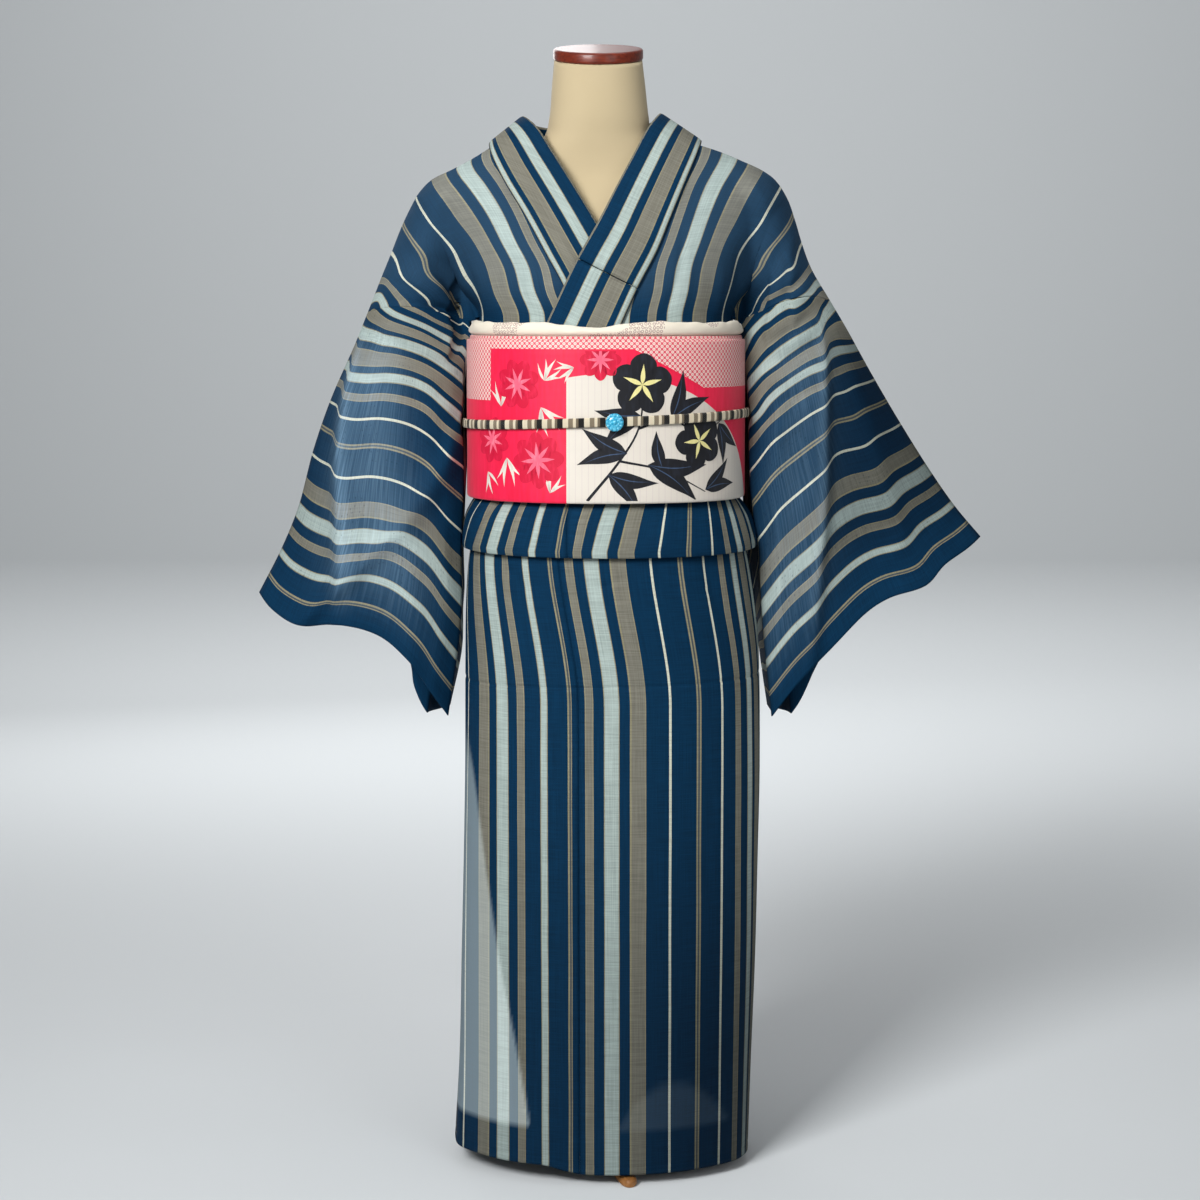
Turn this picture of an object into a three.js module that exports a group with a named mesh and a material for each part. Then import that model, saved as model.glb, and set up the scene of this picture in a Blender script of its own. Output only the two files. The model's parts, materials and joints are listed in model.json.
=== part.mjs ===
// A striped summer kimono, dressed with its wide sash on a limbless dress form that stands on a
// three-armed wooden base. Millimetres, +Z up, the origin on the floor under the form's pole.
// The wearer would face -Y, so the wearer's left side is at +X. Every cloth piece is a thin wall
// lofted over the shape that it holds when worn.
import * as THREE from 'three';

// ---- Driving dimensions ----
const CLOTH = 1.6; // kimono cloth, as a wall
const COLLAR_CLOTH = 3; // the collar is a folded band
const SASH_CLOTH = 3; // one turn of the stiffened sash
const SEAM_GAP = 0.35; // free space between two pieces that are sewn together
const LAYER_GAP = 0.6; // free space between two pieces that only lie on each other
const ROUNDNESS = 2.2; // 2 is an ellipse, more is boxier

const HEM_HEIGHT = 12;
const SKIRT_TOP = 730;
const TUCK_BOTTOM = 686;
const SASH_BOTTOM = 741;
const SASH_TOP = 914;
const BODICE_BOTTOM = 762;
const ARMPIT_HEIGHT = 936;

const CORD_WIDTH = 10;
const CORD_THICKNESS = 4.5;
const CORD_HEIGHT = 827;
const CLASP_RADIUS = 12;

const DRUM_WIDTH = 288;
const POLE_RADIUS = 14;
const LEG_REACH = 139;
const LEG_TURNS = [14, 134, 254]; // degrees from the front, towards +X

// ---- Sections: the cloth's outer surface at a height, by its four farthest reaches ----
const SKIRT = [
  { z: 12, left: -160, right: 168, front: 127, back: 120 },
  { z: 115, left: -154, right: 171, front: 124, back: 120 },
  { z: 230, left: -151, right: 175, front: 121, back: 122 },
  { z: 344, left: -148, right: 177, front: 119, back: 125 },
  { z: 445, left: -146, right: 178, front: 119, back: 128 },
  { z: 569, left: -145, right: 175, front: 122, back: 130 },
  { z: 624, left: -144, right: 170, front: 124, back: 129 },
  { z: 669, left: -141, right: 163, front: 124, back: 124 },
  { z: 700, left: -136, right: 155, front: 121, back: 118 },
  { z: 740, left: -131, right: 144, front: 117, back: 110 },
  { z: 770, left: -130, right: 143, front: 115, back: 107 },
];
const BODICE = [
  { z: 741, left: -136, right: 149, front: 117, back: 112 },
  { z: 800, left: -136, right: 149, front: 118, back: 113 },
  { z: 870, left: -135, right: 148, front: 118, back: 114 },
  { z: 905, left: -134, right: 146, front: 117.5, back: 114 },
  { z: 936, left: -134, right: 146, front: 115, back: 116 },
  { z: 970, left: -150, right: 160, front: 109, back: 119 },
  { z: 1000, left: -164, right: 170, front: 102, back: 120 },
  { z: 1040, left: -190, right: 188, front: 86, back: 118 },
  { z: 1060, left: -203, right: 203, front: 77, back: 115 },
  { z: 1075, left: -194, right: 197, front: 71, back: 111 },
  { z: 1087, left: -182, right: 188, front: 66, back: 106 },
  { z: 1104, left: -152, right: 158, front: 57, back: 84 },
  { z: 1125, left: -122, right: 118, front: 44, back: 44 },
  { z: 1150, left: -100, right: 90, front: 30, back: 26 },
];
const SASH = [ // the sash's inner face
  { z: 735, left: -139.5, right: 152.5, front: 132.4, back: 121 },
  { z: 925, left: -139, right: 152, front: 132.4, back: 121 },
];
const SHOULDER_Y = 10; // the shoulder fold lies this far behind the pole
const SHOULDER_START = 905; // from here up the cloth's middle shifts back to the shoulder fold

// Smooth value of one column of a table at a station, through every row.
function column(rows, key, at, by = 'z') {
  let i = 0;
  while (i < rows.length - 2 && at > rows[i + 1][by]) i += 1;
  const a = rows[i];
  const b = rows[i + 1];
  const span = b[by] - a[by];
  const t = THREE.MathUtils.clamp((at - a[by]) / span, 0, 1);
  const slope = (j) => {
    const lo = rows[Math.max(j - 1, 0)];
    const hi = rows[Math.min(j + 1, rows.length - 1)];
    return (hi[key] - lo[key]) / (hi[by] - lo[by]);
  };
  const t2 = t * t;
  const t3 = t2 * t;
  return (2 * t3 - 3 * t2 + 1) * a[key] + (t3 - 2 * t2 + t) * span * slope(i)
    + (3 * t2 - 2 * t3) * b[key] + (t3 - t2) * span * slope(i + 1);
}

const lerp = (a, b, t) => a + (b - a) * t;
const smooth = (t) => THREE.MathUtils.smoothstep(t, 0, 1);
const signedPower = (x, p) => Math.sign(x) * Math.abs(x) ** p;
const radians = THREE.MathUtils.degToRad;
const point = (x, y, z) => new THREE.Vector3(x, y, z);

// A point of a section. turn is 0 at the front centre and 90 degrees at +X; grow moves it outwards.
function girth(rows, z, turn, grow = 0) {
  const left = column(rows, 'left', z);
  const right = column(rows, 'right', z);
  const depth = column(rows, Math.cos(turn) > 0 ? 'front' : 'back', z) + grow;
  const half = (right - left) / 2 + grow;
  return point(
    (left + right) / 2 + half * signedPower(Math.sin(turn), 2 / ROUNDNESS),
    -depth * signedPower(Math.cos(turn), 2 / ROUNDNESS),
    z,
  );
}

// The turn at which a section's front passes a given x.
function turnAtX(rows, z, x) {
  const left = column(rows, 'left', z);
  const right = column(rows, 'right', z);
  const share = THREE.MathUtils.clamp((2 * x - left - right) / (right - left), -1, 1);
  return Math.asin(signedPower(share, ROUNDNESS / 2));
}

// ---- Solids ----
// Turns a list of points and triangles into a mesh whose faces point outwards.
function solid(name, points, triangles, material) {
  let volume = 0;
  for (const [a, b, c] of triangles) volume += points[a].dot(points[b].clone().cross(points[c]));
  const index = volume < 0 ? triangles.map(([a, b, c]) => [a, c, b]) : triangles;
  const geometry = new THREE.BufferGeometry().setFromPoints(points);
  geometry.setIndex(index.flat());
  const mesh = new THREE.Mesh(geometry, material);
  mesh.name = name;
  return mesh;
}

// A wall of even thickness behind the surface outer(u, v), with u and v from 0 to 1. Its back is
// on the side that away points from. closed joins the last column to the first.
function wall(name, outer, columns, rows, thickness, material, { closed = false } = {}) {
  const points = [];
  const across = closed ? columns : columns + 1;
  const step = 1e-3;
  const wrap = (u) => (closed ? (u + 1) % 1 : THREE.MathUtils.clamp(u, 0, 1));
  const clamp = (v) => THREE.MathUtils.clamp(v, 0, 1);
  for (let side = 0; side < 2; side += 1) {
    for (let j = 0; j <= rows; j += 1) {
      for (let i = 0; i < across; i += 1) {
        const u = i / columns;
        const v = j / rows;
        const p = outer(u, v);
        const du = outer(wrap(u + step), v).sub(outer(wrap(u - step), v));
        const dv = outer(u, clamp(v + step)).sub(outer(u, clamp(v - step)));
        const normal = du.cross(dv).normalize();
        points.push(side ? p.addScaledVector(normal, -thickness) : p);
      }
    }
  }
  const at = (side, i, j) => side * across * (rows + 1) + j * across + (i % across);
  const triangles = [];
  const quad = (a, b, c, d) => triangles.push([a, b, c], [a, c, d]);
  for (let j = 0; j < rows; j += 1) {
    for (let i = 0; i < columns; i += 1) {
      quad(at(0, i, j), at(0, i + 1, j), at(0, i + 1, j + 1), at(0, i, j + 1));
      quad(at(1, i, j), at(1, i, j + 1), at(1, i + 1, j + 1), at(1, i + 1, j));
    }
  }
  for (let i = 0; i < columns; i += 1) {
    quad(at(0, i, 0), at(1, i, 0), at(1, i + 1, 0), at(0, i + 1, 0));
    quad(at(0, i, rows), at(0, i + 1, rows), at(1, i + 1, rows), at(1, i, rows));
  }
  for (let j = 0; j < rows && !closed; j += 1) {
    quad(at(0, 0, j), at(0, 0, j + 1), at(1, 0, j + 1), at(1, 0, j));
    quad(at(0, columns, j), at(1, columns, j), at(1, columns, j + 1), at(0, columns, j + 1));
  }
  return solid(name, points, triangles, material);
}

// The same surface with its columns in the opposite order, for the mirrored side.
const reversed = (outer) => (u, v) => outer(1 - u, v);

// A closed body through rings: ring(v, u) goes round with u, and both ends are closed.
function loft(name, ring, around, rings, material) {
  const points = [];
  for (let j = 0; j <= rings; j += 1) {
    for (let i = 0; i < around; i += 1) points.push(ring(j / rings, i / around));
  }
  const centre = (j) => {
    const c = point(0, 0, 0);
    for (let i = 0; i < around; i += 1) c.add(points[j * around + i]);
    return c.divideScalar(around);
  };
  points.push(centre(0), centre(rings));
  const low = points.length - 2;
  const high = points.length - 1;
  const triangles = [];
  for (let i = 0; i < around; i += 1) {
    const k = (i + 1) % around;
    triangles.push([low, k, i], [high, rings * around + i, rings * around + k]);
    for (let j = 0; j < rings; j += 1) {
      const a = j * around + i;
      const b = j * around + k;
      triangles.push([a, b, b + around], [a, b + around, a + around]);
    }
  }
  return solid(name, points, triangles, material);
}

// A surface that fills four edges: low and high run with s, start and end run with q.
function fill(low, high, start, end) {
  return (s, q) => {
    const p = low(s).multiplyScalar(1 - q).addScaledVector(high(s), q);
    p.addScaledVector(start(q), 1 - s).addScaledVector(end(q), s);
    p.addScaledVector(low(0), -(1 - s) * (1 - q)).addScaledVector(low(1), -s * (1 - q));
    p.addScaledVector(high(0), -(1 - s) * q).addScaledVector(high(1), -s * q);
    return p;
  };
}

// A smooth edge through the rows of a table, by length, as a function of 0 to 1.
function edge(rows) {
  const curve = new THREE.CatmullRomCurve3(
    rows.map((r) => point(r.x, r.y ?? 0, r.z)),
    false,
    'centripetal',
  );
  curve.arcLengthDivisions = 400;
  return (t) => curve.getPointAt(THREE.MathUtils.clamp(t, 0, 1));
}

// ---- Materials ----
const finish = (color, roughness, metalness = 0) => new THREE.MeshStandardMaterial({ color, roughness, metalness });
const MATERIALS = {
  kimono: finish(0x143f66, 0.7),
  collar: finish(0x12395c, 0.7),
  sash: finish(0xe21443, 0.6),
  scarf: finish(0xf0e6d2, 0.75),
  cord: finish(0x8a8272, 0.7),
  clasp: finish(0x1fa3c4, 0.25),
  form: finish(0xe3cfa6, 0.85),
  wood: finish(0x6b2414, 0.3),
  base: finish(0x9c6b3c, 0.5),
};

// ---- The dress form, its cap and its stand ----
const FORM = [
  { z: 500, left: -112, right: 118, front: 84, back: 92 },
  { z: 530, left: -126, right: 136, front: 98, back: 108 },
  { z: 600, left: -131, right: 146, front: 106, back: 116 },
  { z: 680, left: -124, right: 138, front: 104, back: 106 },
  { z: 760, left: -116, right: 130, front: 98, back: 92 },
  { z: 830, left: -118, right: 132, front: 100, back: 92 },
  { z: 920, left: -122, right: 134, front: 105, back: 98 },
  { z: 980, left: -132, right: 140, front: 98, back: 100 },
  { z: 1030, left: -142, right: 146, front: 78, back: 98 },
  { z: 1062, left: -142, right: 146, front: 60, back: 90 },
  { z: 1085, left: -122, right: 124, front: 46, back: 78 },
  { z: 1105, left: -90, right: 88, front: 43, back: 64 },
  { z: 1128, left: -62, right: 58, front: 45, back: 52 },
  { z: 1150, left: -55, right: 53, front: 48, back: 50 },
  { z: 1185, left: -52, right: 49, front: 48, back: 48 },
  { z: 1218, left: -49, right: 45, front: 46, back: 46 },
];
const NECK_TOP = 1212;
const CAP_THICKNESS = 12;
const CAP_TILT = Math.tan(radians(11)); // the neck is cut so that its cap leans to the front
const CAP_LEAN_START = 1150;

// Above the lean's start each level tips forward, up to the cap's full tilt.
function leaning(p) {
  const share = THREE.MathUtils.clamp((p.z - CAP_LEAN_START) / (NECK_TOP - CAP_LEAN_START), 0, 1);
  return p.setZ(p.z + p.y * CAP_TILT * share);
}

function dressForm() {
  const low = FORM[0].z;
  const ring = (v, u) => leaning(girth(FORM, lerp(low, NECK_TOP, v), 2 * Math.PI * u));
  return loft('dress_form', ring, 24, 22, MATERIALS.form);
}

function neckCap() {
  const rim = [
    { z: NECK_TOP + SEAM_GAP, grow: -1 },
    { z: NECK_TOP + 2, grow: 1 },
    { z: NECK_TOP + CAP_THICKNESS - 2, grow: 1 },
    { z: NECK_TOP + CAP_THICKNESS, grow: -1 },
  ];
  const ring = (v, u) => {
    const { z, grow } = rim[Math.round(v * (rim.length - 1))];
    const p = girth(FORM, NECK_TOP, 2 * Math.PI * u, grow);
    return p.setZ(z + p.y * CAP_TILT);
  };
  return loft('neck_cap', ring, 24, rim.length - 1, MATERIALS.wood);
}

function pole() {
  const profile = [[0, 32], [26, 32], [24, 44], [POLE_RADIUS, 58], [POLE_RADIUS, FORM[0].z - SEAM_GAP],
    [0, FORM[0].z - SEAM_GAP]].map(([r, z]) => new THREE.Vector2(r, z));
  const mesh = new THREE.Mesh(new THREE.LatheGeometry(profile, 20), MATERIALS.base);
  mesh.rotation.x = Math.PI / 2;
  mesh.name = 'pole';
  return mesh;
}

const HUB_RADIUS = 36;
const HUB_HEIGHT = 32 - SEAM_GAP;
function hub() {
  const profile = [[0, 0], [HUB_RADIUS - 2, 0], [HUB_RADIUS, 2], [HUB_RADIUS, 20], [30, 27],
    [28, HUB_HEIGHT], [0, HUB_HEIGHT]].map(([r, z]) => new THREE.Vector2(r, z));
  const mesh = new THREE.Mesh(new THREE.LatheGeometry(profile, 24), MATERIALS.base);
  mesh.rotation.x = Math.PI / 2;
  mesh.name = 'base_hub';
  return mesh;
}

// A leg lies on the floor, flat below, and gets lower and rounder towards its tip.
const LEG = [
  { out: HUB_RADIUS + 0.6, half: 12, height: 18 },
  { out: 80, half: 11, height: 15 },
  { out: LEG_REACH - 14, half: 9.5, height: 9.4 },
  { out: LEG_REACH - 7, half: 8.6, height: 8.8 },
  { out: LEG_REACH - 2, half: 5.6, height: 7.6 },
  { out: LEG_REACH, half: 2, height: 5.5 },
];
function leg(number, turn) {
  const outline = [[-0.8, 0], [0.8, 0], [1, 0.25], [0.9, 0.75], [0.5, 1], [-0.5, 1], [-0.9, 0.75], [-1, 0.25]];
  const ring = (v, u) => {
    const { out, half, height } = LEG[Math.round(v * (LEG.length - 1))];
    const [side, up] = outline[Math.round(u * outline.length) % outline.length];
    return point(side * half, -out, up * height);
  };
  const mesh = loft(`base_leg_${number}`, ring, outline.length, LEG.length - 1, MATERIALS.base);
  mesh.rotation.z = radians(turn);
  return mesh;
}

// ---- The skirt: one cloth that goes round one and a half times, left front over right ----
const OVERLAP_EDGE = -98; // degrees: the outer front's free edge, on the wearer's right
const SIDE_SEAM_LEFT = 92;
const BACK_SEAM = 180;
const SIDE_SEAM_RIGHT = 266;
const INNER_SEAM = 372;
const INNER_EDGE = 432;
const OUTER_LAYER = 3.8; // how far the outer front stands over the inner front

// The overlap panel's seam leans towards the wearer's right at the hip.
const seamX = (z) => -22 - 22 * smooth((z - 520) / 180);
const seamTurn = (z) => THREE.MathUtils.radToDeg(turnAtX(SKIRT, z, seamX(z)));
const layer = (degrees) => OUTER_LAYER * (1 - smooth((degrees - 62) / 34));

// Height of the hem: the overlap panel is lifted a little, and the inner front's corner more.
function hemHeight(degrees) {
  const overlap = 9 * (1 - smooth((degrees + 22) / 16));
  const inner = 44 * smooth((degrees - 300) / 130);
  return HEM_HEIGHT + overlap + inner;
}

// Soft folds of the skirt: each runs down one turn, deeper towards the hem.
const SKIRT_FOLDS = [
  { turn: -70, depth: 3.2, width: 9, from: 720 },
  { turn: -9, depth: -2.6, width: 5, from: 640 },
  { turn: 58, depth: 2.6, width: 10, from: 560 },
  { turn: 84, depth: -3, width: 8, from: 650 },
  { turn: 118, depth: 4, width: 10, from: 600 },
  { turn: 150, depth: -4, width: 11, from: 640 },
  { turn: 208, depth: 4, width: 12, from: 620 },
  { turn: 240, depth: -4, width: 10, from: 600 },
];
function skirtFold(degrees, z) {
  let sum = 0;
  for (const { turn, depth, width, from } of SKIRT_FOLDS) {
    const away = (((degrees - turn + 540) % 360) - 180) / width;
    sum += depth * Math.exp(-away * away) * smooth((from - z) / 420);
  }
  return sum;
}

function skirtPanel(name, from, to, columns, top = SKIRT_TOP) {
  const outer = (u, v) => {
    const guess = lerp(HEM_HEIGHT, top, v);
    const gap = THREE.MathUtils.radToDeg(SEAM_GAP / 140);
    const degrees = lerp(from(guess) + gap, to(guess) - gap, u);
    const z = lerp(hemHeight(degrees), top, v);
    return girth(SKIRT, z, radians(degrees), layer(degrees) + skirtFold(degrees, z));
  };
  return wall(name, outer, columns, 8, CLOTH, MATERIALS.kimono);
}

function skirt() {
  const fixed = (degrees) => () => degrees;
  return [
    skirtPanel('overlap_left', fixed(OVERLAP_EDGE), seamTurn, 10),
    skirtPanel('front_left_skirt', seamTurn, fixed(SIDE_SEAM_LEFT), 11),
    skirtPanel('back_left_skirt', fixed(SIDE_SEAM_LEFT), fixed(BACK_SEAM), 10),
    skirtPanel('back_right_skirt', fixed(BACK_SEAM), fixed(SIDE_SEAM_RIGHT), 10),
    skirtPanel('front_right_skirt', fixed(SIDE_SEAM_RIGHT), fixed(INNER_SEAM), 11),
    skirtPanel('overlap_right', fixed(INNER_SEAM), fixed(INNER_EDGE), 6),
  ];
}

// ---- The waist tuck: the surplus length folded back up under the sash ----
const TUCK = [
  { at: 0, z: 754, grow: 2.6 },
  { at: 0.12, z: 743, grow: 3.4 },
  { at: 0.24, z: 734, grow: 9.5 },
  { at: 0.36, z: 722, grow: 14.6 },
  { at: 0.48, z: 708, grow: 15.4 },
  { at: 0.6, z: 696, grow: 14.4 },
  { at: 0.7, z: 689, grow: 12.6 },
  { at: 0.8, z: TUCK_BOTTOM, grow: 10.6 },
  { at: 0.9, z: 689.5, grow: 8.6 },
  { at: 1, z: 714, grow: 7.6 },
];
// The fold hangs lower in front of the wearer's middle, and pulls up at the wearer's left.
const TUCK_DROP = 3;
function tuckPoint(degrees, at) {
  const z = column(TUCK, 'z', at, 'at') - TUCK_DROP * Math.cos(radians(degrees)) * smooth(at / 0.6);
  const bulge = 1.6 * Math.sin(radians(degrees * 5)) * Math.sin(Math.PI * Math.min(at / 0.8, 1)) ** 2;
  return girth(SKIRT, z, radians(degrees), column(TUCK, 'grow', at, 'at') + bulge);
}

function tuckPanel(name, from, to, columns) {
  const gap = THREE.MathUtils.radToDeg(SEAM_GAP / 140);
  const outer = (u, v) => tuckPoint(lerp(from + gap, to - gap, u), v);
  return wall(name, outer, columns, 10, CLOTH, MATERIALS.kimono);
}

const TUCK_SEAM = -14;
function tuck() {
  return [
    tuckPanel('tuck_overlap', OVERLAP_EDGE, TUCK_SEAM, 8),
    tuckPanel('tuck_front', TUCK_SEAM, SIDE_SEAM_LEFT, 10),
    tuckPanel('tuck_back', SIDE_SEAM_LEFT, 360 + OVERLAP_EDGE, 12),
  ];
}

// ---- The bodice ----
// Depth of the arm's part of the cloth, between the shoulder fold and the crease at the armpit.
const ARM_DEPTH = 50;
const CREASE = [
  { z: 880, left: -150, right: 158 },
  { z: 940, left: -154, right: 156 },
  { z: 1000, left: -148, right: 150 },
  { z: 1060, left: -138, right: 140 },
  { z: 1150, left: -80, right: 70 },
];
// The shoulder fold, seen from the front: neck to armhole to cuff.
const FOLD_LEFT = [ // wearer's left, at +X
  { x: 104, z: 1126 }, { x: 131, z: 1113 }, { x: 154, z: 1104 }, { x: 176, z: 1095 },
  { x: 192, z: 1083 }, { x: 205, z: 1063 }, { x: 213, z: 1041 }, { x: 221, z: 1015 },
  { x: 231, z: 989 }, { x: 252, z: 953 },
];
const FOLD_RIGHT = [ // wearer's right, at -X
  { x: -113, z: 1126 }, { x: -136, z: 1107 }, { x: -161, z: 1094 }, { x: -183, z: 1084 },
  { x: -197, z: 1071 }, { x: -208, z: 1052 }, { x: -218, z: 1031 }, { x: -228, z: 1006 },
  { x: -238, z: 982 }, { x: -254, z: 941 },
];
const foldOf = (side) => (side > 0 ? FOLD_LEFT : FOLD_RIGHT);

// Half width of the whole outline at a height, on one side.
function outlineX(side, z) {
  const rows = foldOf(side).map((r) => ({ z: -r.z, x: r.x }));
  return column(rows, 'x', -z);
}

// The larger of two values, with a rounded change from one to the other.
function softMax(a, b, blend) {
  const near = Math.max(blend - Math.abs(a - b), 0) / Math.max(blend, 1e-6);
  return Math.max(a, b) + near * near * blend / 4;
}

// How far behind the pole the cloth's middle plane is.
const middleY = (z) => SHOULDER_Y * smooth((z - SHOULDER_START) / 90);

// How far the worn cloth reaches in front of (or behind) its middle plane, at x and z.
function depthAt(x, z, face) {
  const left = column(BODICE, 'left', z);
  const right = column(BODICE, 'right', z);
  const share = Math.min(Math.abs((2 * x - left - right) / (right - left)), 1);
  const reach = column(BODICE, face, z) + (face === 'front' ? middleY(z) : -middleY(z));
  const torso = reach * (1 - share ** ROUNDNESS) ** (1 / ROUNDNESS);
  const side = Math.sign(x - (left + right) / 2);
  const inner = column(CREASE, side > 0 ? 'right' : 'left', z);
  const outer = outlineX(side, Math.max(z, foldOf(side).at(-1).z));
  const across = THREE.MathUtils.clamp((outer - x) / (outer - inner), 0, 1);
  const arm = ARM_DEPTH * Math.sin(Math.PI * across) ** 0.75 * (1 - smooth((z - 1070) / 50));
  return softMax(torso, arm, 30 * Math.min(1, Math.abs(outer - x) / 30));
}

function worn(x, z, face, out = 0) {
  const sign = face === 'front' ? -1 : 1;
  return point(x, middleY(z) + sign * (depthAt(x, z, face) + out), z);
}

// The collar's two edges from below the sash, over the shoulder, round the back of the neck.
// inX, inZ: the free edge at the neck. outX, outZ: the sewn edge.
const COLLAR_LEFT = [ // lies on top
  { inX: -72, inZ: 898, outX: -8, outZ: 868 },
  { inX: -57.6, inZ: 928, outX: 8, outZ: 897 },
  { inX: -24, inZ: 998, outX: 40, outZ: 966 },
  { inX: -1, inZ: 1039, outX: 60, outZ: 1004 },
  { inX: 17, inZ: 1074, outX: 75, outZ: 1040 },
  { inX: 34, inZ: 1106, outX: 90, outZ: 1076 },
  { inX: 50, inZ: 1136, outX: 104, outZ: 1108 },
];
const COLLAR_RIGHT = [ // passes under the left one
  { inX: 62, inZ: 910, outX: -6, outZ: 880 },
  { inX: 45, inZ: 945, outX: -20, outZ: 914 },
  { inX: 20, inZ: 994, outX: -38, outZ: 966 },
  { inX: -4, inZ: 1037, outX: -58, outZ: 1003 },
  { inX: -28, inZ: 1077, outX: -80, outZ: 1043 },
  { inX: -50, inZ: 1112, outX: -103, outZ: 1081 },
  { inX: -66, inZ: 1137, outX: -117, outZ: 1109 },
];
// Round the neck, from the wearer's left to the right: free edge and sewn edge.
const COLLAR_NECK = [
  { inX: 65, inY: 6, inZ: 1156, outX: 111, outY: 12, outZ: 1127 },
  { inX: 66, inY: 44, inZ: 1155, outX: 104, outY: 66, outZ: 1113 },
  { inX: 46, inY: 84, inZ: 1147, outX: 66, outY: 101, outZ: 1094 },
  { inX: -10, inY: 104, inZ: 1142, outX: -8, outY: 112, outZ: 1085 },
  { inX: -66, inY: 84, inZ: 1146, outX: -82, outY: 101, outZ: 1094 },
  { inX: -86, inY: 44, inZ: 1152, outX: -117, outY: 66, outZ: 1112 },
  { inX: -83, inY: 6, inZ: 1153, outX: -121, outY: 12, outZ: 1125 },
];
// How far each layer lies over the chest: the left front and its collar cover the right collar.
const LAYERS = [
  { z: 740, leftCollar: 11.8, leftFront: 7.9, rightCollar: 3.4 },
  { z: 1000, leftCollar: 11.8, leftFront: 7.9, rightCollar: 3.6 },
  { z: 1050, leftCollar: 8.4, leftFront: 4, rightCollar: 4.4 },
  { z: 1100, leftCollar: 5.5, leftFront: 0.5, rightCollar: 5.5 },
  { z: 1160, leftCollar: 6, leftFront: 0, rightCollar: 6 },
];

// All the collar's stations in order, from the left end round the neck to the right end.
const COLLAR = [
  ...COLLAR_LEFT.map((r) => ({ ...r, chest: 1, layer: 'leftCollar' })),
  ...COLLAR_NECK.map((r) => ({ ...r, chest: 0 })),
  ...COLLAR_RIGHT.map((r) => ({ ...r, chest: 1, layer: 'rightCollar' })).reverse(),
].map((r, at) => ({ ...r, at }));

const COLLAR_CROWN = 0.6; // the band's middle stands this far over its edges
function collarSurface() {
  const last = COLLAR.length - 1;
  const rows = COLLAR.map((r) => {
    if (!r.chest) return r;
    const a = worn(r.inX, r.inZ, 'front', column(LAYERS, r.layer, r.inZ));
    const b = worn(r.outX, r.outZ, 'front', column(LAYERS, r.layer, r.outZ));
    return { ...r, inY: a.y, outY: b.y };
  });
  const curve = (x, y, z) => new THREE.CatmullRomCurve3(rows.map((r) => point(r[x], r[y], r[z])));
  const free = curve('inX', 'inY', 'inZ');
  const sewn = curve('outX', 'outY', 'outZ');
  return (u, v) => {
    const a = free.getPoint(v);
    const b = sewn.getPoint(v);
    const up = b.clone().sub(a).cross(free.getTangent(v)).normalize();
    const crown = COLLAR_CROWN * Math.sin(Math.PI * u) ** 0.7;
    const p = a.lerp(b, u);
    const layer = column(LAYERS, v < 0.5 ? 'leftCollar' : 'rightCollar', p.z);
    const onChest = worn(p.x, p.z, 'front', layer + crown);
    p.addScaledVector(up, crown);
    return p.lerp(onChest, column(rows, 'chest', v * last, 'at'));
  };
}

// Where the cover collar ends, as shares of the whole collar.
const COVER_FROM = 0.1;
const COVER_TO = 0.93;
function collar() {
  const surface = collarSurface();
  const piece = (name, from, to, rows) => wall(
    name,
    (u, v) => surface(u, lerp(from, to, v)),
    4,
    rows,
    COLLAR_CLOTH,
    MATERIALS.collar,
  );
  const gap = 0.0005;
  return [
    piece('collar_left_end', 0, COVER_FROM - gap, 4),
    piece('cover_collar', COVER_FROM + gap, COVER_TO - gap, 36),
    piece('collar_right_end', COVER_TO + gap, 1, 4),
  ];
}

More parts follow.
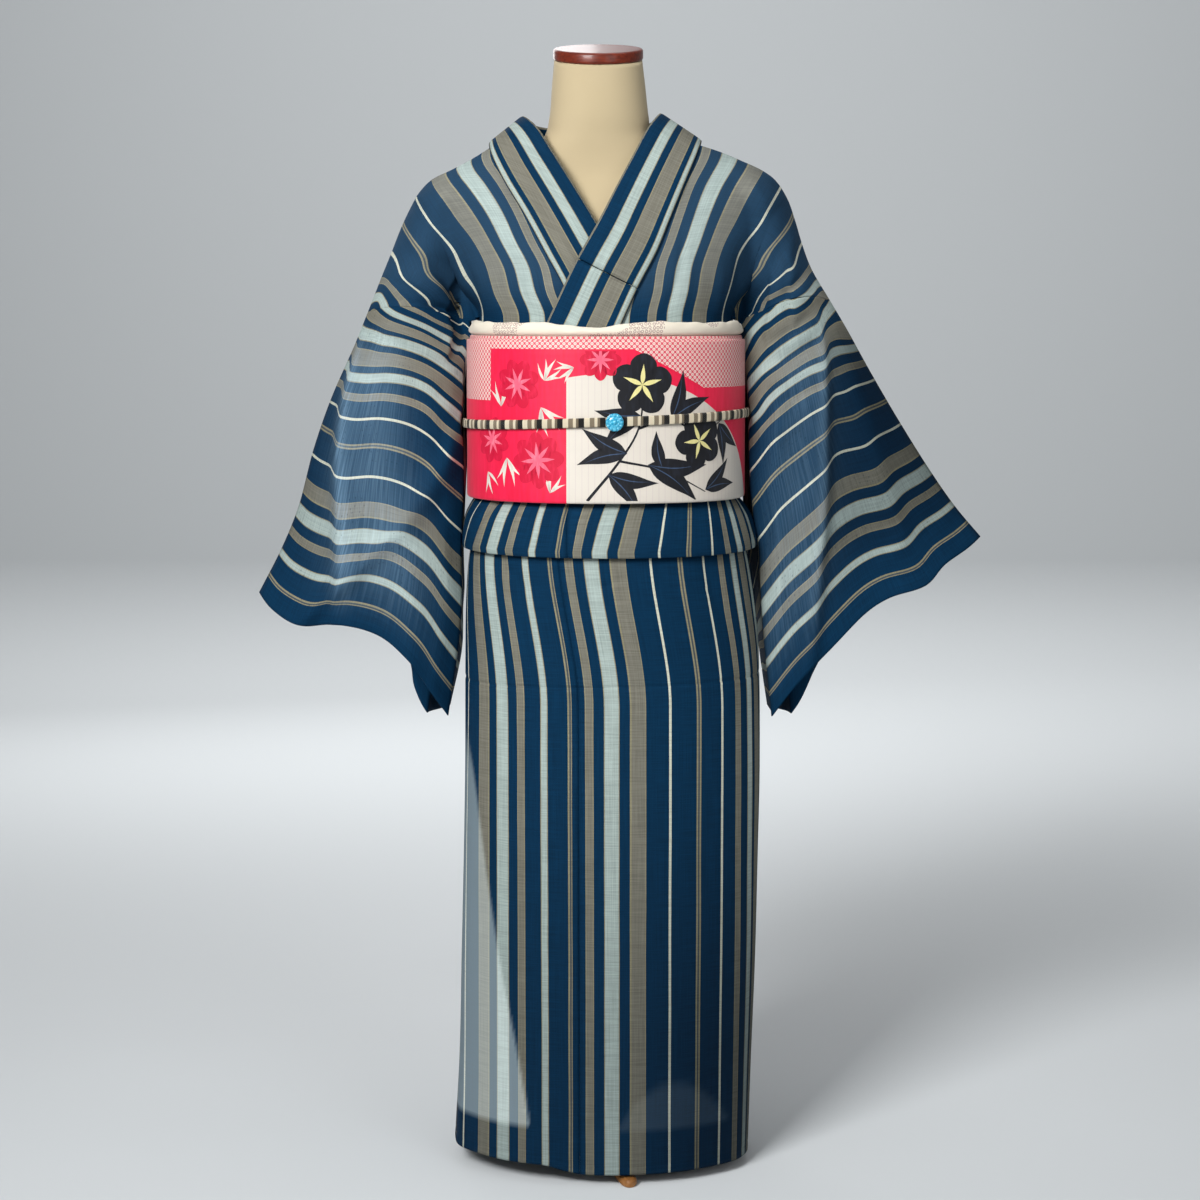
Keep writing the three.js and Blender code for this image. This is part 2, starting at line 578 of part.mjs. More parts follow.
// ---- Sleeves ----
// Each sleeve is a flat tube that hangs from the shoulder: its top fold goes down and outwards, its
// front layer falls towards the body and turns back beside it. s runs from the armhole to the cuff,
// t from the top fold round to the bottom edge.
const TURN_AT = 0.7; // share of the sleeve's height that faces the front
const SLEEVES = {
  left: {
    side: 1,
    fold: [
      { x: 252, z: 953 }, { x: 269, z: 925 }, { x: 297, z: 876 }, { x: 328, z: 824 },
      { x: 363, z: 769 }, { x: 392, z: 728 }, { x: 421, z: 694 },
    ],
    cuff: [
      { x: 421, z: 694 }, { x: 405, z: 683 }, { x: 377, z: 666 }, { x: 357, z: 645 },
      { x: 317, z: 631 }, { x: 291, z: 614 }, { x: 252, z: 570 }, { x: 226, z: 541 }, { x: 196, z: 499 },
    ],
    armhole: [{ x: 252, z: 953 }, { x: 226, z: 957 }, { x: 192, z: 950 }, { x: 165, z: 931 }],
    inner: [
      { x: 165, z: 931 }, { x: 167, z: 880 }, { x: 169, z: 820 }, { x: 172, z: 750 }, { x: 180, z: 690 },
      { x: 186, z: 600 }, { x: 196, z: 499 },
    ],
    folds: [
      { name: 'outer step', from: 0.06, to: 0.3, depth: 13, width: 0.04, step: true },
      { name: 'middle ridge', from: 0.34, to: 0.52, depth: 9, width: 0.07 },
      { name: 'inner ridge', from: 0.52, to: 0.68, depth: 6, width: 0.05 },
    ],
  },
  right: {
    side: -1,
    fold: [
      { x: -254, z: 941 }, { x: -269, z: 905 }, { x: -296, z: 846 }, { x: -316, z: 790 },
      { x: -333, z: 728 }, { x: -352, z: 682 }, { x: -378, z: 632 },
    ],
    cuff: [
      { x: -378, z: 632 }, { x: -364, z: 618 }, { x: -343, z: 606 }, { x: -323, z: 600 },
      { x: -280, z: 602 }, { x: -240, z: 590 }, { x: -212, z: 562 }, { x: -194, z: 528 }, { x: -176, z: 499 },
    ],
    armhole: [{ x: -254, z: 941 }, { x: -228, z: 946 }, { x: -190, z: 945 }, { x: -159, z: 931 }],
    inner: [
      { x: -159, z: 931 }, { x: -158, z: 880 }, { x: -158, z: 820 }, { x: -158, z: 750 }, { x: -160, z: 690 },
      { x: -162, z: 600 }, { x: -176, z: 499 },
    ],
    folds: [
      { name: 'outer step', from: 0.02, to: 0.26, depth: 15, width: 0.035, step: true },
      { name: 'middle ridge', from: 0.36, to: 0.46, depth: 9, width: 0.07 },
      { name: 'inner ridge', from: 0.55, to: 0.66, depth: 6, width: 0.05 },
    ],
  },
};
const SLEEVE_FRONT = 46; // how far the front layer bulges before the top fold
// By s: the space between the layers, and how far back and down the bottom edge lies from the turn.
const SLEEVE_SHAPE = [
  { s: 0, open: 96, reach: 66, drop: 225 },
  { s: 0.3, open: 84, reach: 84, drop: 150 },
  { s: 0.65, open: 70, reach: 102, drop: 62 },
  { s: 1, open: 64, reach: 112, drop: 6 },
];

function sleeveFold(folds, s, t) {
  let sum = 0;
  for (const { from, to, depth, width, step } of folds) {
    const away = (t - lerp(from, to, s)) / width;
    const ridge = Math.exp(-away * away);
    const terrace = 0.5 * (1 + Math.tanh(away)) * (1 - smooth((t - 0.45) / 0.3));
    sum += depth * (step ? terrace : ridge) * smooth(s / 0.3) * smooth(t / 0.08);
  }
  return sum;
}

// A point of the tube: s from armhole to cuff, round from the top fold down the front layer to the
// bottom edge at a half, and up the back layer again.
function sleevePoint(shape) {
  const armhole = edge(shape.armhole);
  const plan = fill(armhole, edge(shape.cuff), edge(shape.fold), edge(shape.inner));
  return (s, round) => {
    const t = round < 0.5 ? round * 2 : 2 - round * 2;
    const isBack = round > 0.5;
    const down = Math.min(t / TURN_AT, 1);
    const past = Math.max(t - TURN_AT, 0) / (1 - TURN_AT);
    const own = smooth(s / 0.35);
    const value = (key) => column(SLEEVE_SHAPE, key, s, 's');
    const p = plan(down, s);
    const edgeOfBody = armhole(down);
    const front = worn(edgeOfBody.x, edgeOfBody.z, 'front').y;
    const back = worn(edgeOfBody.x, edgeOfBody.z, 'back').y;
    const rise = Math.sin(Math.min(t / 0.2, 1) * Math.PI / 2) ** 0.8;
    const turned = smooth((t - TURN_AT + 0.1) / 0.2);
    const hang = -SLEEVE_FRONT * rise - sleeveFold(shape.folds, s, t);
    const free = SHOULDER_Y + hang * (1 - 0.35 * turned) + 8 * turned;
    p.z -= value('drop') * past;
    p.y = lerp(front, free, own) + value('reach') * past ** 1.1;
    if (!isBack) return p;
    const parting = Math.sin(Math.min(t / 0.22, 1) * Math.PI / 2) ** 0.8;
    const share = parting * (1 - smooth((t - 0.35) / 0.65) ** 0.9);
    const gap = value('open') * share + 9 * (1 - share) * Math.sqrt(Math.sin(Math.PI * t));
    const swing = radians(62) * smooth((t - TURN_AT + 0.25) / 0.4);
    const atBody = lerp(back - front, gap, smooth(past * 1.2));
    p.x += shape.side * Math.sin(swing) * gap * lerp(smooth(past * 1.2), 1, own);
    p.y += lerp(atBody, Math.cos(swing) * gap, own);
    return p;
  };
}

const SLEEVE_START = 0.003;
function sleeve(name, shape) {
  const at = sleevePoint(shape);
  const outer = (u, v) => at(lerp(SLEEVE_START, 1, v), u);
  const facing = shape.side > 0 ? outer : reversed(outer);
  return wall(`sleeve_${name}`, facing, 30, 11, CLOTH, MATERIALS.kimono, { closed: true });
}

// ---- Body panels: each one runs from the front's waist over the shoulder to the back's waist ----
// x of the edge that is sewn to the collar, by height; it reaches a little under the collar.
const COLLAR_SEAM = [
  { z: 740, left: -66, right: 62 },
  { z: 868, left: -13, right: 2 },
  { z: 905, left: 7, right: -11 },
  { z: 935, left: 21, right: -24 },
  { z: 966, left: 35, right: -33 },
  { z: 1004, left: 55, right: -53 },
  { z: 1040, left: 70, right: -74 },
  { z: 1076, left: 84, right: -95 },
  { z: 1112, left: 101, right: -113 },
];
const NECK_CORNER = { left: { x: 104, z: 1121 }, right: { x: -115, z: 1120 } };
// The back's neckline, under the collar, from the shoulder to the seam down the middle of the back.
const BACK_NECK = {
  left: [{ x: 104, z: 1121 }, { x: 100, z: 1111 }, { x: 84, z: 1101 }, { x: 50, z: 1094 }, { x: -4, z: 1090 }],
  right: [{ x: -115, z: 1120 }, { x: -111, z: 1110 }, { x: -94, z: 1100 }, { x: -60, z: 1094 }, { x: -4, z: 1090 }],
};
const PANEL_ROWS = 16; // from the waist up to the shoulder fold, and again down the back
const WAIST_ROWS = 3; // of these, below the armpit
const NECK_ROWS = 6; // and beside the neck, at the back
const ARMHOLE_ROWS = 11; // and along the armhole

function bodyPanel(name) {
  const shape = SLEEVES[name];
  const { side } = shape;
  const upperRows = PANEL_ROWS - WAIST_ROWS;
  const corner = point(NECK_CORNER[name].x, 0, NECK_CORNER[name].z);
  const fold = edge([{ x: corner.x, z: corner.z }, ...foldOf(side).slice(1)]);
  const armhole = edge(shape.armhole);
  const backNeck = edge(BACK_NECK[name]);
  const middleX = backNeck(1).x;
  const backEdge = (q) => {
    const neck = NECK_ROWS / upperRows;
    if (q <= neck) return backNeck(q / neck);
    return point(middleX, 0, lerp(backNeck(1).z, ARMPIT_HEIGHT, (q - neck) / (1 - neck)));
  };
  const frontEdge = (q) => {
    const z = lerp(corner.z, ARMPIT_HEIGHT, q);
    return point(column(COLLAR_SEAM, name, z), 0, z).lerp(corner, (1 - smooth(q * 12)));
  };
  const sideX = column(BODICE, side > 0 ? 'right' : 'left', ARMPIT_HEIGHT);
  const waistLine = (start) => (s) => point(lerp(start, sideX, s), 0, ARMPIT_HEIGHT);
  const outerEdge = (q) => {
    const share = ARMHOLE_ROWS / upperRows;
    if (q <= share) return armhole(q / share);
    return armhole(1).lerp(point(sideX, 0, ARMPIT_HEIGHT), (q - share) / (1 - share));
  };
  const frontPlan = fill(fold, waistLine(frontEdge(1).x), frontEdge, outerEdge);
  const backPlan = fill(fold, waistLine(middleX), backEdge, outerEdge);

  // Across the waist the columns keep even steps round the body.
  const belowArmpit = (z, u, face) => {
    const start = face === 'front' ? column(COLLAR_SEAM, name, z) : middleX;
    const angle = lerp(turnAtX(BODICE, z, start), side * Math.PI / 2, u);
    const over = name === 'left' && face === 'front' ? 7.9 * (1 - smooth((u - 0.4) / 0.5)) : 0;
    const p = girth(BODICE, z, angle, over);
    if (face === 'front') return p;
    return p.setY(-p.y * column(BODICE, 'back', z) / column(BODICE, 'front', z));
  };
  const surface = (u, v) => {
    const face = v < 0.5 ? 'front' : 'back';
    const row = (v < 0.5 ? v : 1 - v) * 2 * PANEL_ROWS;
    if (row < WAIST_ROWS) return belowArmpit(lerp(BODICE_BOTTOM, ARMPIT_HEIGHT, row / WAIST_ROWS), u, face);
    const q = 1 - (row - WAIST_ROWS) / upperRows;
    const waist = belowArmpit(ARMPIT_HEIGHT, u, face);
    const p = (v < 0.5 ? frontPlan : backPlan)(u, q);
    p.x = lerp(p.x, waist.x, smooth(q * 2.5 - 1.5));
    const lift = name === 'left' && face === 'front' ? column(LAYERS, 'leftFront', p.z) : 0;
    return worn(p.x, p.z, face, lift * (1 - smooth((u - 0.4) / 0.5)));
  };
  const trimmed = (u, v) => surface(lerp(0.0015, 0.996, u), v);
  const facing = side > 0 ? trimmed : reversed(trimmed);
  return wall(`body_${name}`, facing, 11, 2 * PANEL_ROWS, CLOTH, MATERIALS.kimono);
}

// ---- Rings round the waist ----
// A closed ring: a section of (grow, z) corners carried round the waist.
function ring(name, rows, section, around, material, shift = () => ({ grow: 0, z: 0 })) {
  const points = [];
  for (let i = 0; i < around; i += 1) {
    const turn = 2 * Math.PI * i / around;
    for (const [grow, z] of section) {
      const moved = shift(turn, z);
      const p = girth(rows, z, turn, grow + moved.grow);
      points.push(p.setZ(z + moved.z));
    }
  }
  const n = section.length;
  const triangles = [];
  for (let i = 0; i < around; i += 1) {
    for (let k = 0; k < n; k += 1) {
      const a = i * n + k;
      const b = i * n + ((k + 1) % n);
      const c = ((i + 1) % around) * n + ((k + 1) % n);
      const d = ((i + 1) % around) * n + k;
      triangles.push([a, b, c], [a, c, d]);
    }
  }
  return solid(name, points, triangles, material);
}

// The second turn of the sash lies over the first, whose edge shows above it.
function sash() {
  const outer = 2 * SASH_CLOTH + LAYER_GAP;
  return ring('sash', SASH, [
    [0, SASH_BOTTOM + 2], [0, SASH_TOP + 1], [1.4, SASH_TOP + 2.4], [SASH_CLOTH, SASH_TOP + 1],
    [SASH_CLOTH + 0.3, SASH_TOP - 2.4], [outer - 0.8, SASH_TOP - 2], [outer, SASH_TOP - 4],
    [outer, SASH_BOTTOM + 2], [outer - 1.5, SASH_BOTTOM], [1.5, SASH_BOTTOM],
  ], 38, MATERIALS.sash);
}

// The scarf lies in soft folds on the sash's upper edge and is tucked in behind it.
function scarf() {
  const shape = (turn, z) => {
    const ahead = smooth(Math.cos(turn) * 3);
    const tuckedIn = Math.exp(-(((Math.sin(turn) + 0.08) / 0.24) ** 2)) * ahead;
    const swell = 1.4 * Math.cos(turn * 4) * ahead;
    const share = smooth((z - SASH_TOP - 4) / 12);
    return { grow: 0, z: (swell - 7.5 * tuckedIn - 7 * (1 - ahead)) * share };
  };
  return ring('scarf', SASH, [
    [-0.6, SASH_TOP - 5], [-0.6, SASH_TOP + 3.2], [2.4, SASH_TOP + 4.4], [4.4, SASH_TOP + 8],
    [4, SASH_TOP + 13], [1.6, SASH_TOP + 16.6], [-0.9, SASH_TOP + 16.4], [-1.7, SASH_TOP + 13],
    [-1.7, SASH_TOP + 4], [-1.7, SASH_TOP - 5],
  ], 38, MATERIALS.scarf, shape);
}

// ---- The sash's back: a folded drum over a hidden hand end, and the tail below it ----
const DRUM = [ // from the inside of the top over the hump, down, and folded back up inside
  { y: 131.5, z: 906 }, { y: 132.5, z: 930 }, { y: 141, z: 945 }, { y: 157, z: 950 },
  { y: 175, z: 945 }, { y: 188, z: 928 }, { y: 194, z: 900 }, { y: 195, z: 860 }, { y: 193, z: 820 },
  { y: 190, z: 780 }, { y: 186, z: 750 }, { y: 177, z: 735 }, { y: 163, z: 733 }, { y: 151, z: 742 },
  { y: 146, z: 765 }, { y: 145, z: 812 },
];
const TAIL = [
  { y: 135.5, z: 806 }, { y: 135.5, z: 770 }, { y: 137.5, z: 742 }, { y: 141, z: 720 },
  { y: 141.5, z: 690 }, { y: 139.5, z: 655 },
];
const HAND = { low: 752, high: 896, y: 160, half: 150, thickness: 4 };
const SASH_MIDDLE = 6.5;

// A flat strip across the back that follows a profile; its sides droop back a little.
function strip(name, profile, half, columns, rows, curl) {
  const path = edge(profile.map(({ y, z }) => ({ x: 0, y, z })));
  const outer = (u, v) => {
    const p = path(v);
    const across = lerp(-1, 1, u);
    return point(SASH_MIDDLE + across * half, p.y - curl * across * across, p.z);
  };
  return wall(name, outer, columns, rows, SASH_CLOTH, MATERIALS.sash);
}

function sashBack() {
  const hand = new THREE.Mesh(
    new THREE.BoxGeometry(2 * HAND.half, HAND.thickness, HAND.high - HAND.low),
    MATERIALS.sash,
  );
  hand.position.set(SASH_MIDDLE, HAND.y, (HAND.low + HAND.high) / 2);
  hand.name = 'sash_hand';
  return [
    strip('sash_drum', DRUM, DRUM_WIDTH / 2, 4, 24, 2),
    strip('sash_tail', TAIL, DRUM_WIDTH / 2 - 3, 4, 8, 0),
    hand,
  ];
}

// ---- The braided cord round the sash and the drum, and its clasp ----
const CORD_BACK = [
  { x: 162.2, y: 20, z: 833 }, { x: 161.5, y: 90, z: 834 }, { x: 160, y: 150, z: 835 }, { x: 158.5, y: 184, z: 835 },
  { x: 150, y: 198, z: 835 }, { x: 120, y: 201.5, z: 835 }, { x: 6, y: 202, z: 834 }, { x: -107, y: 201.5, z: 832 },
  { x: -137, y: 198, z: 831 }, { x: -145.5, y: 184, z: 829 }, { x: -147, y: 150, z: 828 }, { x: -148.6, y: 90, z: 825 },
  { x: -149.4, y: 20, z: 821 },
];
const CORD_OVER = 2 * SASH_CLOTH + LAYER_GAP + 0.4 + CORD_THICKNESS / 2;
const CORD_RISE = 6; // the wearer's left side of the cord is this much above its middle
function cordPath() {
  const front = [];
  for (let degrees = -80; degrees <= 80; degrees += 10) {
    const turn = radians(degrees);
    const p = girth(SASH, CORD_HEIGHT, turn, CORD_OVER + 0.3);
    front.push(p.setZ(CORD_HEIGHT + CORD_RISE * Math.sin(turn)));
  }
  const back = CORD_BACK.map(({ x, y, z }) => point(x, y, z));
  const curve = new THREE.CatmullRomCurve3([...front, ...back], true, 'centripetal');
  curve.arcLengthDivisions = 600;
  return curve;
}

function cord() {
  const path = cordPath();
  const around = 72;
  const section = [[-1, 0], [-0.6, 0.9], [0.6, 0.9], [1, 0], [0.6, -0.9], [-0.6, -0.9]];
  const points = [];
  const triangles = [];
  for (let i = 0; i < around; i += 1) {
    const p = path.getPointAt(i / around);
    const along = path.getTangentAt(i / around);
    const out = point(along.y, -along.x, 0).normalize();
    for (const [up, away] of section) {
      const q = p.clone().addScaledVector(out, away * CORD_THICKNESS / 2);
      points.push(q.setZ(q.z + up * CORD_WIDTH / 2));
    }
  }
  const n = section.length;
  for (let i = 0; i < around; i += 1) {
    const next = (i + 1) % around;
    for (let k = 0; k < n; k += 1) {
      const m = (k + 1) % n;
      triangles.push([i * n + k, next * n + k, next * n + m], [i * n + k, next * n + m, i * n + m]);
    }
  }
  return solid('sash_cord', points, triangles, MATERIALS.cord);
}

const CLASP_TURN = radians(2.4);
function clasp() {
  const seat = girth(SASH, CORD_HEIGHT, CLASP_TURN, CORD_OVER + 0.3 + CORD_THICKNESS / 2 + SEAM_GAP);
  const profile = [[0, 0], [CLASP_RADIUS - 2, 0], [CLASP_RADIUS, 1.6], [CLASP_RADIUS, 3.4], [9, 6.6],
    [4.5, 8], [0, 8.4]].map(([r, y]) => new THREE.Vector2(r, y));
  const mesh = new THREE.Mesh(new THREE.LatheGeometry(profile, 20), MATERIALS.clasp);
  mesh.rotation.x = Math.PI;
  mesh.position.set(seat.x, seat.y, CORD_HEIGHT);
  mesh.name = 'sash_clasp';
  return mesh;
}

// ---- Assembly ----
const kimono = new THREE.Group();
kimono.add(dressForm(), neckCap(), pole(), hub());
LEG_TURNS.forEach((turn, i) => kimono.add(leg(i + 1, turn)));
kimono.add(...skirt(), ...tuck(), ...collar());
kimono.add(sleeve('left', SLEEVES.left), sleeve('right', SLEEVES.right));
kimono.add(bodyPanel('left'), bodyPanel('right'));
kimono.add(sash(), scarf(), ...sashBack(), cord(), clasp());
export default kimono;
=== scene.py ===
"""A striped summer kimono with its wide patterned sash, dressed on a limbless form.

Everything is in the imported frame: metres, +Z up, the wearer facing -Y with the left side at +X.
The tables below are in millimetres, as a pattern cutter would note them.
"""

import json
import math

import bmesh
import bpy
import numpy as np
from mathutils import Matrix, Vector

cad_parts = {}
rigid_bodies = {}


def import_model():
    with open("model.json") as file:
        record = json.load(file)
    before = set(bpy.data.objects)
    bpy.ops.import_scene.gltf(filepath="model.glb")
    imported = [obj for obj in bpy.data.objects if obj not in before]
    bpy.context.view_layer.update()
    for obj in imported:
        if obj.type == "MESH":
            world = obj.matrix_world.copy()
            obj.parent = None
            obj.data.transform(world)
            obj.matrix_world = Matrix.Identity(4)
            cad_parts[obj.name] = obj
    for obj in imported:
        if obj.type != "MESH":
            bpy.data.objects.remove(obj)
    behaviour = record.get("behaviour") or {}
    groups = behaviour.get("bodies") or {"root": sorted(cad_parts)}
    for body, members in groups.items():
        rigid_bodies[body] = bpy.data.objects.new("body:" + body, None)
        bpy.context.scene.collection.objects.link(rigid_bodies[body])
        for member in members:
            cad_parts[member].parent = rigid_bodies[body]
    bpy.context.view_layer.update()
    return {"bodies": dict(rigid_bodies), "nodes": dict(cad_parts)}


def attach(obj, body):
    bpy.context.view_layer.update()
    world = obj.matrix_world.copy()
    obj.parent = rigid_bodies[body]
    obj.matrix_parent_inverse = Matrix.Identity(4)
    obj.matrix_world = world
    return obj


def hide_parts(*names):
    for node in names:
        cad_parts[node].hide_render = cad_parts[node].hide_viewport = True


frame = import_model()
BODY = next(iter(frame["bodies"]))

bl_info = {
    "name": "Striped kimono on a dress form",
    "version": (1, 0, 0),
    "blender": (4, 5, 0),
    "location": "View3D > Sidebar > Kimono",
    "description": "Builds a dressed summer kimono, its sash set and the form that it stands on",
    "category": "Add Mesh",
}

MM = 0.001
ROUNDNESS = 2.2  # 2 is an ellipse, more is boxier


# ---- Tables: the cloth's outer surface by its four farthest reaches ----
def table(names, rows):
    return {key: np.array(values, float) for key, values in zip(names.split(), zip(*rows))}


SKIRT = table("z left right front back", (
    (12, -160, 168, 127, 120),
    (115, -154, 171, 124, 120),
    (230, -151, 175, 121, 122),
    (344, -148, 177, 119, 125),
    (445, -146, 178, 119, 128),
    (569, -145, 175, 122, 130),
    (624, -144, 170, 124, 129),
    (669, -141, 163, 124, 124),
    (700, -136, 155, 121, 118),
    (740, -131, 144, 117, 110),
    (770, -130, 143, 115, 107),
))
BODICE = table("z left right front back", (
    (741, -136, 149, 117, 112),
    (800, -136, 149, 118, 113),
    (870, -135, 148, 118, 114),
    (905, -134, 146, 117.5, 114),
    (936, -134, 146, 115, 116),
    (970, -150, 160, 109, 119),
    (1000, -164, 170, 102, 120),
    (1040, -190, 188, 86, 118),
    (1060, -203, 203, 77, 115),
    (1075, -194, 197, 71, 111),
    (1087, -182, 188, 66, 106),
    (1104, -152, 158, 57, 84),
    (1125, -122, 118, 44, 44),
    (1150, -100, 90, 30, 26),
))
SASH = table("z left right front back", (
    (735, -139.5, 152.5, 132.4, 121),
    (925, -139, 152, 132.4, 121),
))
FORM = table("z left right front back", (
    (500, -112, 118, 84, 92),
    (530, -126, 136, 98, 108),
    (600, -131, 146, 106, 116),
    (680, -124, 138, 104, 106),
    (760, -116, 130, 98, 92),
    (830, -118, 132, 100, 92),
    (920, -122, 134, 105, 98),
    (980, -132, 140, 98, 100),
    (1030, -142, 146, 78, 98),
    (1062, -142, 146, 60, 90),
    (1085, -122, 124, 46, 78),
    (1105, -90, 88, 43, 64),
    (1128, -62, 58, 45, 52),
    (1150, -55, 53, 48, 50),
    (1185, -52, 49, 48, 48),
    (1218, -49, 45, 46, 46),
))


# ---- Curves and sections ----
def column(rows, key, at, by="z"):
    """One column of a table at a station, smooth through every row."""
    x, y = rows[by], rows[key]
    at = np.asarray(at, float)
    i = np.clip(np.searchsorted(x[1:-1], at, side="left"), 0, len(x) - 2)
    low, high = np.maximum(np.arange(len(x)) - 1, 0), np.minimum(np.arange(len(x)) + 1, len(x) - 1)
    slope = (y[high] - y[low]) / (x[high] - x[low])
    span = x[i + 1] - x[i]
    t = np.clip((at - x[i]) / span, 0, 1)
    t2, t3 = t * t, t * t * t
    return (
        (2 * t3 - 3 * t2 + 1) * y[i]
        + (t3 - 2 * t2 + t) * span * slope[i]
        + (3 * t2 - 2 * t3) * y[i + 1]
        + (t3 - t2) * span * slope[i + 1]
    )


def smooth(t):
    t = np.clip(t, 0, 1)
    return t * t * (3 - 2 * t)


def signed_power(x, power):
    return np.sign(x) * np.abs(x) ** power


def mix(a, b, t):
    return a + (b - a) * t


def stack(x, y, z):
    return np.stack(np.broadcast_arrays(x, y, z), -1).astype(float)


def girth(rows, z, turn, grow=0.0):
    """A point of a section. turn is 0 at the front centre and a quarter at +X."""
    left, right = column(rows, "left", z), column(rows, "right", z)
    depth = np.where(np.cos(turn) > 0, column(rows, "front", z), column(rows, "back", z)) + grow
    half = (right - left) / 2 + grow
    return stack(
        (left + right) / 2 + half * signed_power(np.sin(turn), 2 / ROUNDNESS),
        -depth * signed_power(np.cos(turn), 2 / ROUNDNESS),
        z,
    )


def turn_at(rows, z, x):
    """The turn at which a section's front passes a given x."""
    left, right = column(rows, "left", z), column(rows, "right", z)
    share = np.clip((2 * x - left - right) / (right - left), -1, 1)
    return np.arcsin(signed_power(share, ROUNDNESS / 2))


def spline(points, by_length=True, closed=False):
    """A smooth line through points, as a function of 0 to 1 along its length or by its points."""
    given = np.array(points, float)
    count = len(given)
    if closed:
        ends = given[np.arange(-1, count + 2) % count]
    else:
        ends = np.vstack([2 * given[0] - given[1], given, 2 * given[-1] - given[-2]])
    w = np.linspace(0, 1, 48, endpoint=False)[:, None]
    runs = []
    for k in range(count if closed else count - 1):
        p0, p1, p2, p3 = ends[k : k + 4]
        d0, d1, d2 = (np.linalg.norm(b - a) ** 0.5 for a, b in ((p0, p1), (p1, p2), (p2, p3)))
        into = ((p1 - p0) / d0 - (p2 - p0) / (d0 + d1) + (p2 - p1) / d1) * d1
        out = ((p2 - p1) / d1 - (p3 - p1) / (d1 + d2) + (p3 - p2) / d2) * d1
        runs.append(
            p1 + into * w + (3 * (p2 - p1) - 2 * into - out) * w**2
            + (2 * (p1 - p2) + into + out) * w**3
        )
    line = np.vstack([*runs, given[:1] if closed else given[-1:]])
    key = np.linspace(0, 1, len(line))
    if by_length:
        key = along(line, 0)
        key /= key[-1]
    return lambda t: np.stack([np.interp(np.clip(t, 0, 1), key, line[:, k]) for k in range(3)], -1)


def flat_line(pairs):
    """A spline through (x, z) pairs, in the front's plane."""
    return spline([(x, 0, z) for x, z in pairs])


def fill(low, high, start, end):
    """A surface that fills four edges: low and high run with s, start and end run with q."""
    zero, one = np.zeros(1), np.ones(1)

    def at(s, q):
        s, q = np.broadcast_arrays(s, q)
        a, b = s[..., None], q[..., None]
        return (
            low(s) * (1 - b) + high(s) * b + start(q) * (1 - a) + end(q) * a
            - low(zero)[0] * (1 - a) * (1 - b) - low(one)[0] * a * (1 - b)
            - high(zero)[0] * (1 - a) * b - high(one)[0] * a * b
        )

    return at


# ---- Cloth in mesh code ----
def grid(columns, rows):
    """u across and v along, each from 0 to 1, as two arrays of (rows + 1, columns + 1)."""
    return np.meshgrid(np.linspace(0, 1, columns + 1), np.linspace(0, 1, rows + 1))


def along(points, axis):
    """Length along the cloth's rows (axis 1), or along its columns or a line (axis 0)."""
    steps = np.linalg.norm(np.diff(points, axis=axis), axis=-1)
    start = np.zeros_like(np.take(steps, [0], axis=axis))
    return np.concatenate([start, np.cumsum(steps, axis=axis)], axis=axis)


def facing(points):
    """Unit normals of a grid of points."""
    across, down = np.gradient(points, axis=1), np.gradient(points, axis=0)
    normal = np.cross(across, down)
    return normal / np.maximum(np.linalg.norm(normal, axis=-1, keepdims=True), 1e-9)


def settle(values, passes):
    """Evens a grid of heights with its neighbours, as cloth does between its creases."""
    for _ in range(passes):
        padded = np.pad(values, 1, mode="edge")
        values = (
            padded[1:-1, 1:-1] * 4 + padded[:-2, 1:-1] + padded[2:, 1:-1]
            + padded[1:-1, :-2] + padded[1:-1, 2:]
        ) / 8
    return values


def creases(x, z, rows):
    """Sum of soft troughs and ridges, each along its own line from (x1, z1) to (x2, z2)."""
    total = np.zeros(np.broadcast(x, z).shape)
    for x1, z1, x2, z2, depth, width in rows:
        dx, dz = x2 - x1, z2 - z1
        length = math.hypot(dx, dz)
        run = ((x - x1) * dx + (z - z1) * dz) / length**2
        bow = 0.06 * length * np.sin(np.pi * np.clip(run, 0, 1))
        off = ((x - x1) * dz - (z - z1) * dx) / length - bow
        fade = smooth((run + 0.12) / 0.4) * smooth((1.12 - run) / 0.5)
        total += depth * np.exp(-((off / width) ** 2)) * fade
    return total


def new_piece(name, data):
    """An object of the scene, for a mesh, a lamp or a camera."""
    piece = bpy.data.objects.new(name, data)
    bpy.context.scene.collection.objects.link(piece)
    return piece


def cloth_piece(name, points, uv, material, thickness, outward=1, closed=False, extra=None):
    """A thin shell over a grid of points in millimetres, with its own cloth coordinates in metres.
    outward is 1 where the grid's normals leave the cloth's outer face, and -1 where they enter it."""
    rows, columns = points.shape[0] - 1, points.shape[1] - 1
    across = columns if closed else columns + 1
    mesh = bpy.data.meshes.new(name)
    corner = lambda i, j: j * across + (i % across)
    loops, where = [], []
    for j in range(rows):
        for i in range(columns):
            ring = [(i, j), (i + 1, j), (i + 1, j + 1), (i, j + 1)]
            if outward < 0:
                ring.reverse()
            loops.append([corner(*c) for c in ring])
            where.extend(ring)
    mesh.from_pydata((points[:, :across] * MM).reshape(-1, 3).tolist(), [], loops)
    layer = mesh.uv_layers.new(name="cloth")
    i, j = np.array(where).T
    layer.data.foreach_set("uv", (uv[j, i] * MM).astype(np.float32).ravel())
    for key, values in (extra or {}).items():
        made = mesh.attributes.new(key, "FLOAT", "POINT")
        made.data.foreach_set("value", values[:, :across].astype(np.float32).ravel())
    mesh.shade_smooth()
    mesh.materials.append(material)
    piece = new_piece(name, mesh)
    wall = piece.modifiers.new("cloth thickness", "SOLIDIFY")
    wall.thickness = thickness
    wall.offset = -1
    return piece


def stands_for(piece, node):
    """Says which body the piece rides on and which node it stands for."""
    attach(piece, BODY)
    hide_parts(node)


